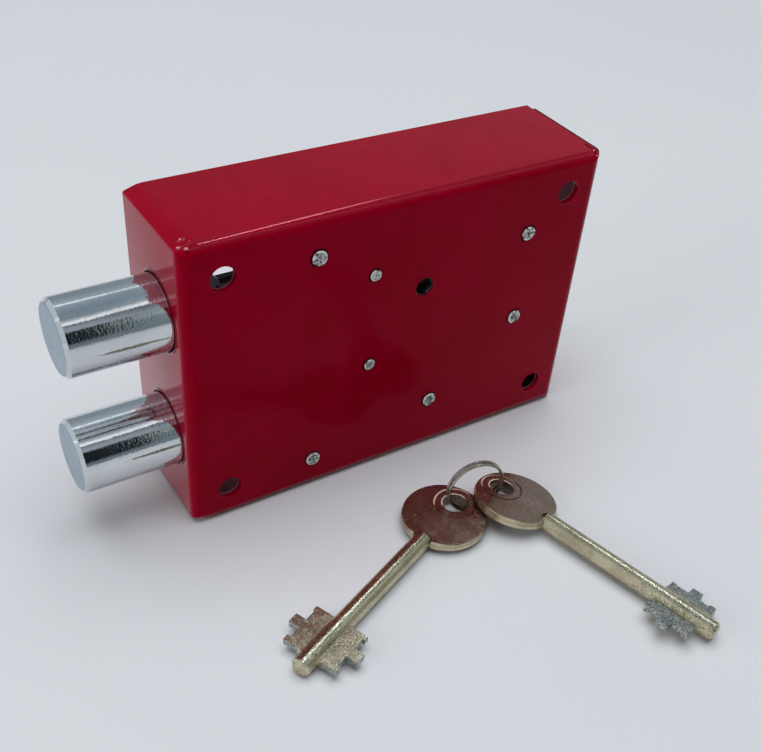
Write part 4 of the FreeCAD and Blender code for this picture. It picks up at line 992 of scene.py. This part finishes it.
# What metal and gloss paint see overhead, from the horizon behind the lock over to the one in
# front: degrees from straight up, red, green and blue as painted. Rays that turn far to +X see
# the light side, and the others the dark side.
ROOM_LIGHT_SIDE = (
    (-90, 0.24, 0.29, 0.33), (-70, 0.24, 0.29, 0.33), (-50, 0.32, 0.37, 0.40),
    (-36, 0.42, 0.46, 0.48), (-26, 0.26, 0.32, 0.36), (-5, 0.23, 0.29, 0.35),
    (10, 0.30, 0.35, 0.39), (17, 0.50, 0.54, 0.58), (20, 1.0, 1.0, 1.0), (24, 1.0, 1.0, 1.0),
    (28, 0.07, 0.09, 0.11), (33, 0.17, 0.20, 0.22), (46, 0.27, 0.32, 0.33),
    (56, 0.33, 0.37, 0.37), (66, 0.20, 0.25, 0.26), (90, 0.18, 0.22, 0.24),
)
ROOM_DARK_SIDE = (
    (-90, 0.24, 0.29, 0.33), (-70, 0.24, 0.29, 0.33), (-50, 0.32, 0.37, 0.40),
    (-36, 0.50, 0.56, 0.60), (-26, 0.30, 0.36, 0.41), (-5, 0.22, 0.28, 0.34),
    (12, 0.24, 0.29, 0.32), (20, 0.50, 0.56, 0.62), (24, 1.0, 1.0, 1.0), (28, 1.0, 1.0, 1.0),
    (30.5, 0.10, 0.12, 0.14), (35, 0.28, 0.33, 0.37), (45, 0.34, 0.39, 0.44),
    (50, 0.012, 0.016, 0.02), (77, 0.012, 0.016, 0.02), (84, 0.14, 0.18, 0.20),
    (90, 0.18, 0.22, 0.24),
)
LIGHT_SIDE_FROM = (0.23, 0.262)
END_WALL_FROM = (-0.30, -0.45)
END_WALL = (0.55, 0.60, 0.63, 1.0)
DULL_LIGHT = (0.15, 0.155, 0.165, 1.0)
SHINY_GAIN = 0.1

# The tube that draws the thin line on the case's top bend: how far it turns in degrees over one
# unit of X, from which X, its edges in degrees, its span in X, its strength
TUBE_TURN = 200.0
TUBE_PIVOT = 0.33
TUBE_EDGES = tuple(math.radians(angle) for angle in (-6.5, -5.0, 1.0, 2.5))
TUBE_SPAN = (0.315, 0.335, 0.42, 0.51)
TUBE_STRENGTH = 44.0

# The strip that the bolts show near the case: its edges in degrees, its span in X, its strength
STRIP_EDGES = tuple(math.radians(angle) for angle in (-38.0, -36.5, -34.5, -33.0))
STRIP_SPAN = (0.25, 0.32)
STRIP_STRENGTH = 1.3


def room_band(tree, share, stops):
    ramp = tree.add("ShaderNodeValToRGB", Fac=share)
    band = ramp.color_ramp
    band.interpolation = "EASE"
    while len(band.elements) > 1:
        band.elements.remove(band.elements[0])
    band.elements[0].position = (stops[0][0] + 180.0) / 360.0
    band.elements[0].color = (*stops[0][1:], 1.0)
    for angle, red, green, blue in stops[1:]:
        step = band.elements.new((angle + 180.0) / 360.0)
        step.color = (red, green, blue, 1.0)
    return ramp.outputs["Color"]


def set_room():
    world = bpy.data.worlds.new("studio")
    bpy.context.scene.world = world
    world.use_nodes = True
    tree = Tree(world.node_tree)
    shade = world.node_tree.nodes["Background"]
    toward = tree.add("ShaderNodeTexCoord").outputs["Generated"]
    parts = tree.add("ShaderNodeSeparateXYZ", Vector=toward)
    forward = tree.math("MULTIPLY", parts.outputs["Y"], -1.0)
    angle = tree.math("ARCTAN2", forward, parts.outputs["Z"])
    share = tree.math("ADD", tree.math("DIVIDE", angle, 2 * math.pi), 0.5)
    light_side = room_band(tree, share, ROOM_LIGHT_SIDE)
    dark_side = room_band(tree, share, ROOM_DARK_SIDE)
    across = tree.between(parts.outputs["X"], *LIGHT_SIDE_FROM)
    seen = tree.mix(across, dark_side, light_side)
    seen = tree.mix(tree.between(parts.outputs["X"], *END_WALL_FROM), seen, END_WALL)
    rays = tree.add("ShaderNodeLightPath")
    shiny = tree.math("MAXIMUM", rays.outputs["Is Glossy Ray"], rays.outputs["Is Transmission Ray"])
    tree.feed(shade.inputs["Color"], tree.mix(shiny, DULL_LIGHT, seen))
    slant = tree.math("MULTIPLY", tree.math("SUBTRACT", parts.outputs["X"], TUBE_PIVOT),
                      math.radians(TUBE_TURN))
    tube = tree.math("MULTIPLY", tree.plateau(tree.math("ADD", angle, slant), TUBE_EDGES),
                     tree.plateau(parts.outputs["X"], TUBE_SPAN))
    reach = tree.between(parts.outputs["X"], *STRIP_SPAN, STRIP_STRENGTH, 0.0)
    strip = tree.math("MULTIPLY", tree.plateau(angle, STRIP_EDGES), reach)
    lit = tree.math("ADD", tree.math("MULTIPLY", tube, TUBE_STRENGTH), strip)
    gain = tree.math("MULTIPLY", shiny, SHINY_GAIN)
    lit = tree.math("ADD", tree.math("MULTIPLY", lit, shiny), gain)
    tree.feed(shade.inputs["Strength"], tree.math("ADD", lit, 1.0))


# Soft boxes: name, place and aim in metres, size, power in watts, tint
LAMPS = (
    ("overhead", (0.1, 0.1, 1.7), (0.1, 0.1, 0.0), (1.8, 1.8), 26.2, (1.0, 1.0, 1.0)),
    ("side", (-1.5, -0.1, 0.6), (0.0, 0.0, 0.03), (0.8, 0.8), 6.0, (1.0, 0.99, 0.97)),
)


def add_lamp(name, place, aim, size, power, tint):
    data = bpy.data.lights.new(name, "AREA")
    data.shape = "RECTANGLE"
    data.size = size[0]
    data.size_y = size[1]
    data.energy = power
    data.color = tint
    lamp = bpy.data.objects.new(name, data)
    bpy.context.scene.collection.objects.link(lamp)
    lamp.location = place
    lamp.rotation_euler = (Vector(aim) - Vector(place)).to_track_quat("-Z", "Y").to_euler()
    lamp.visible_glossy = False


def set_lamps():
    for lamp in LAMPS:
        add_lamp(*lamp)


set_camera()
finish_nodes()
add_peened_tails()
add_paint_rims()
add_tip_liner()
add_corner_drops()
add_key_marks()
set_floor()
set_room()
set_lamps()
bpy.context.scene.view_settings.view_transform = "Standard"
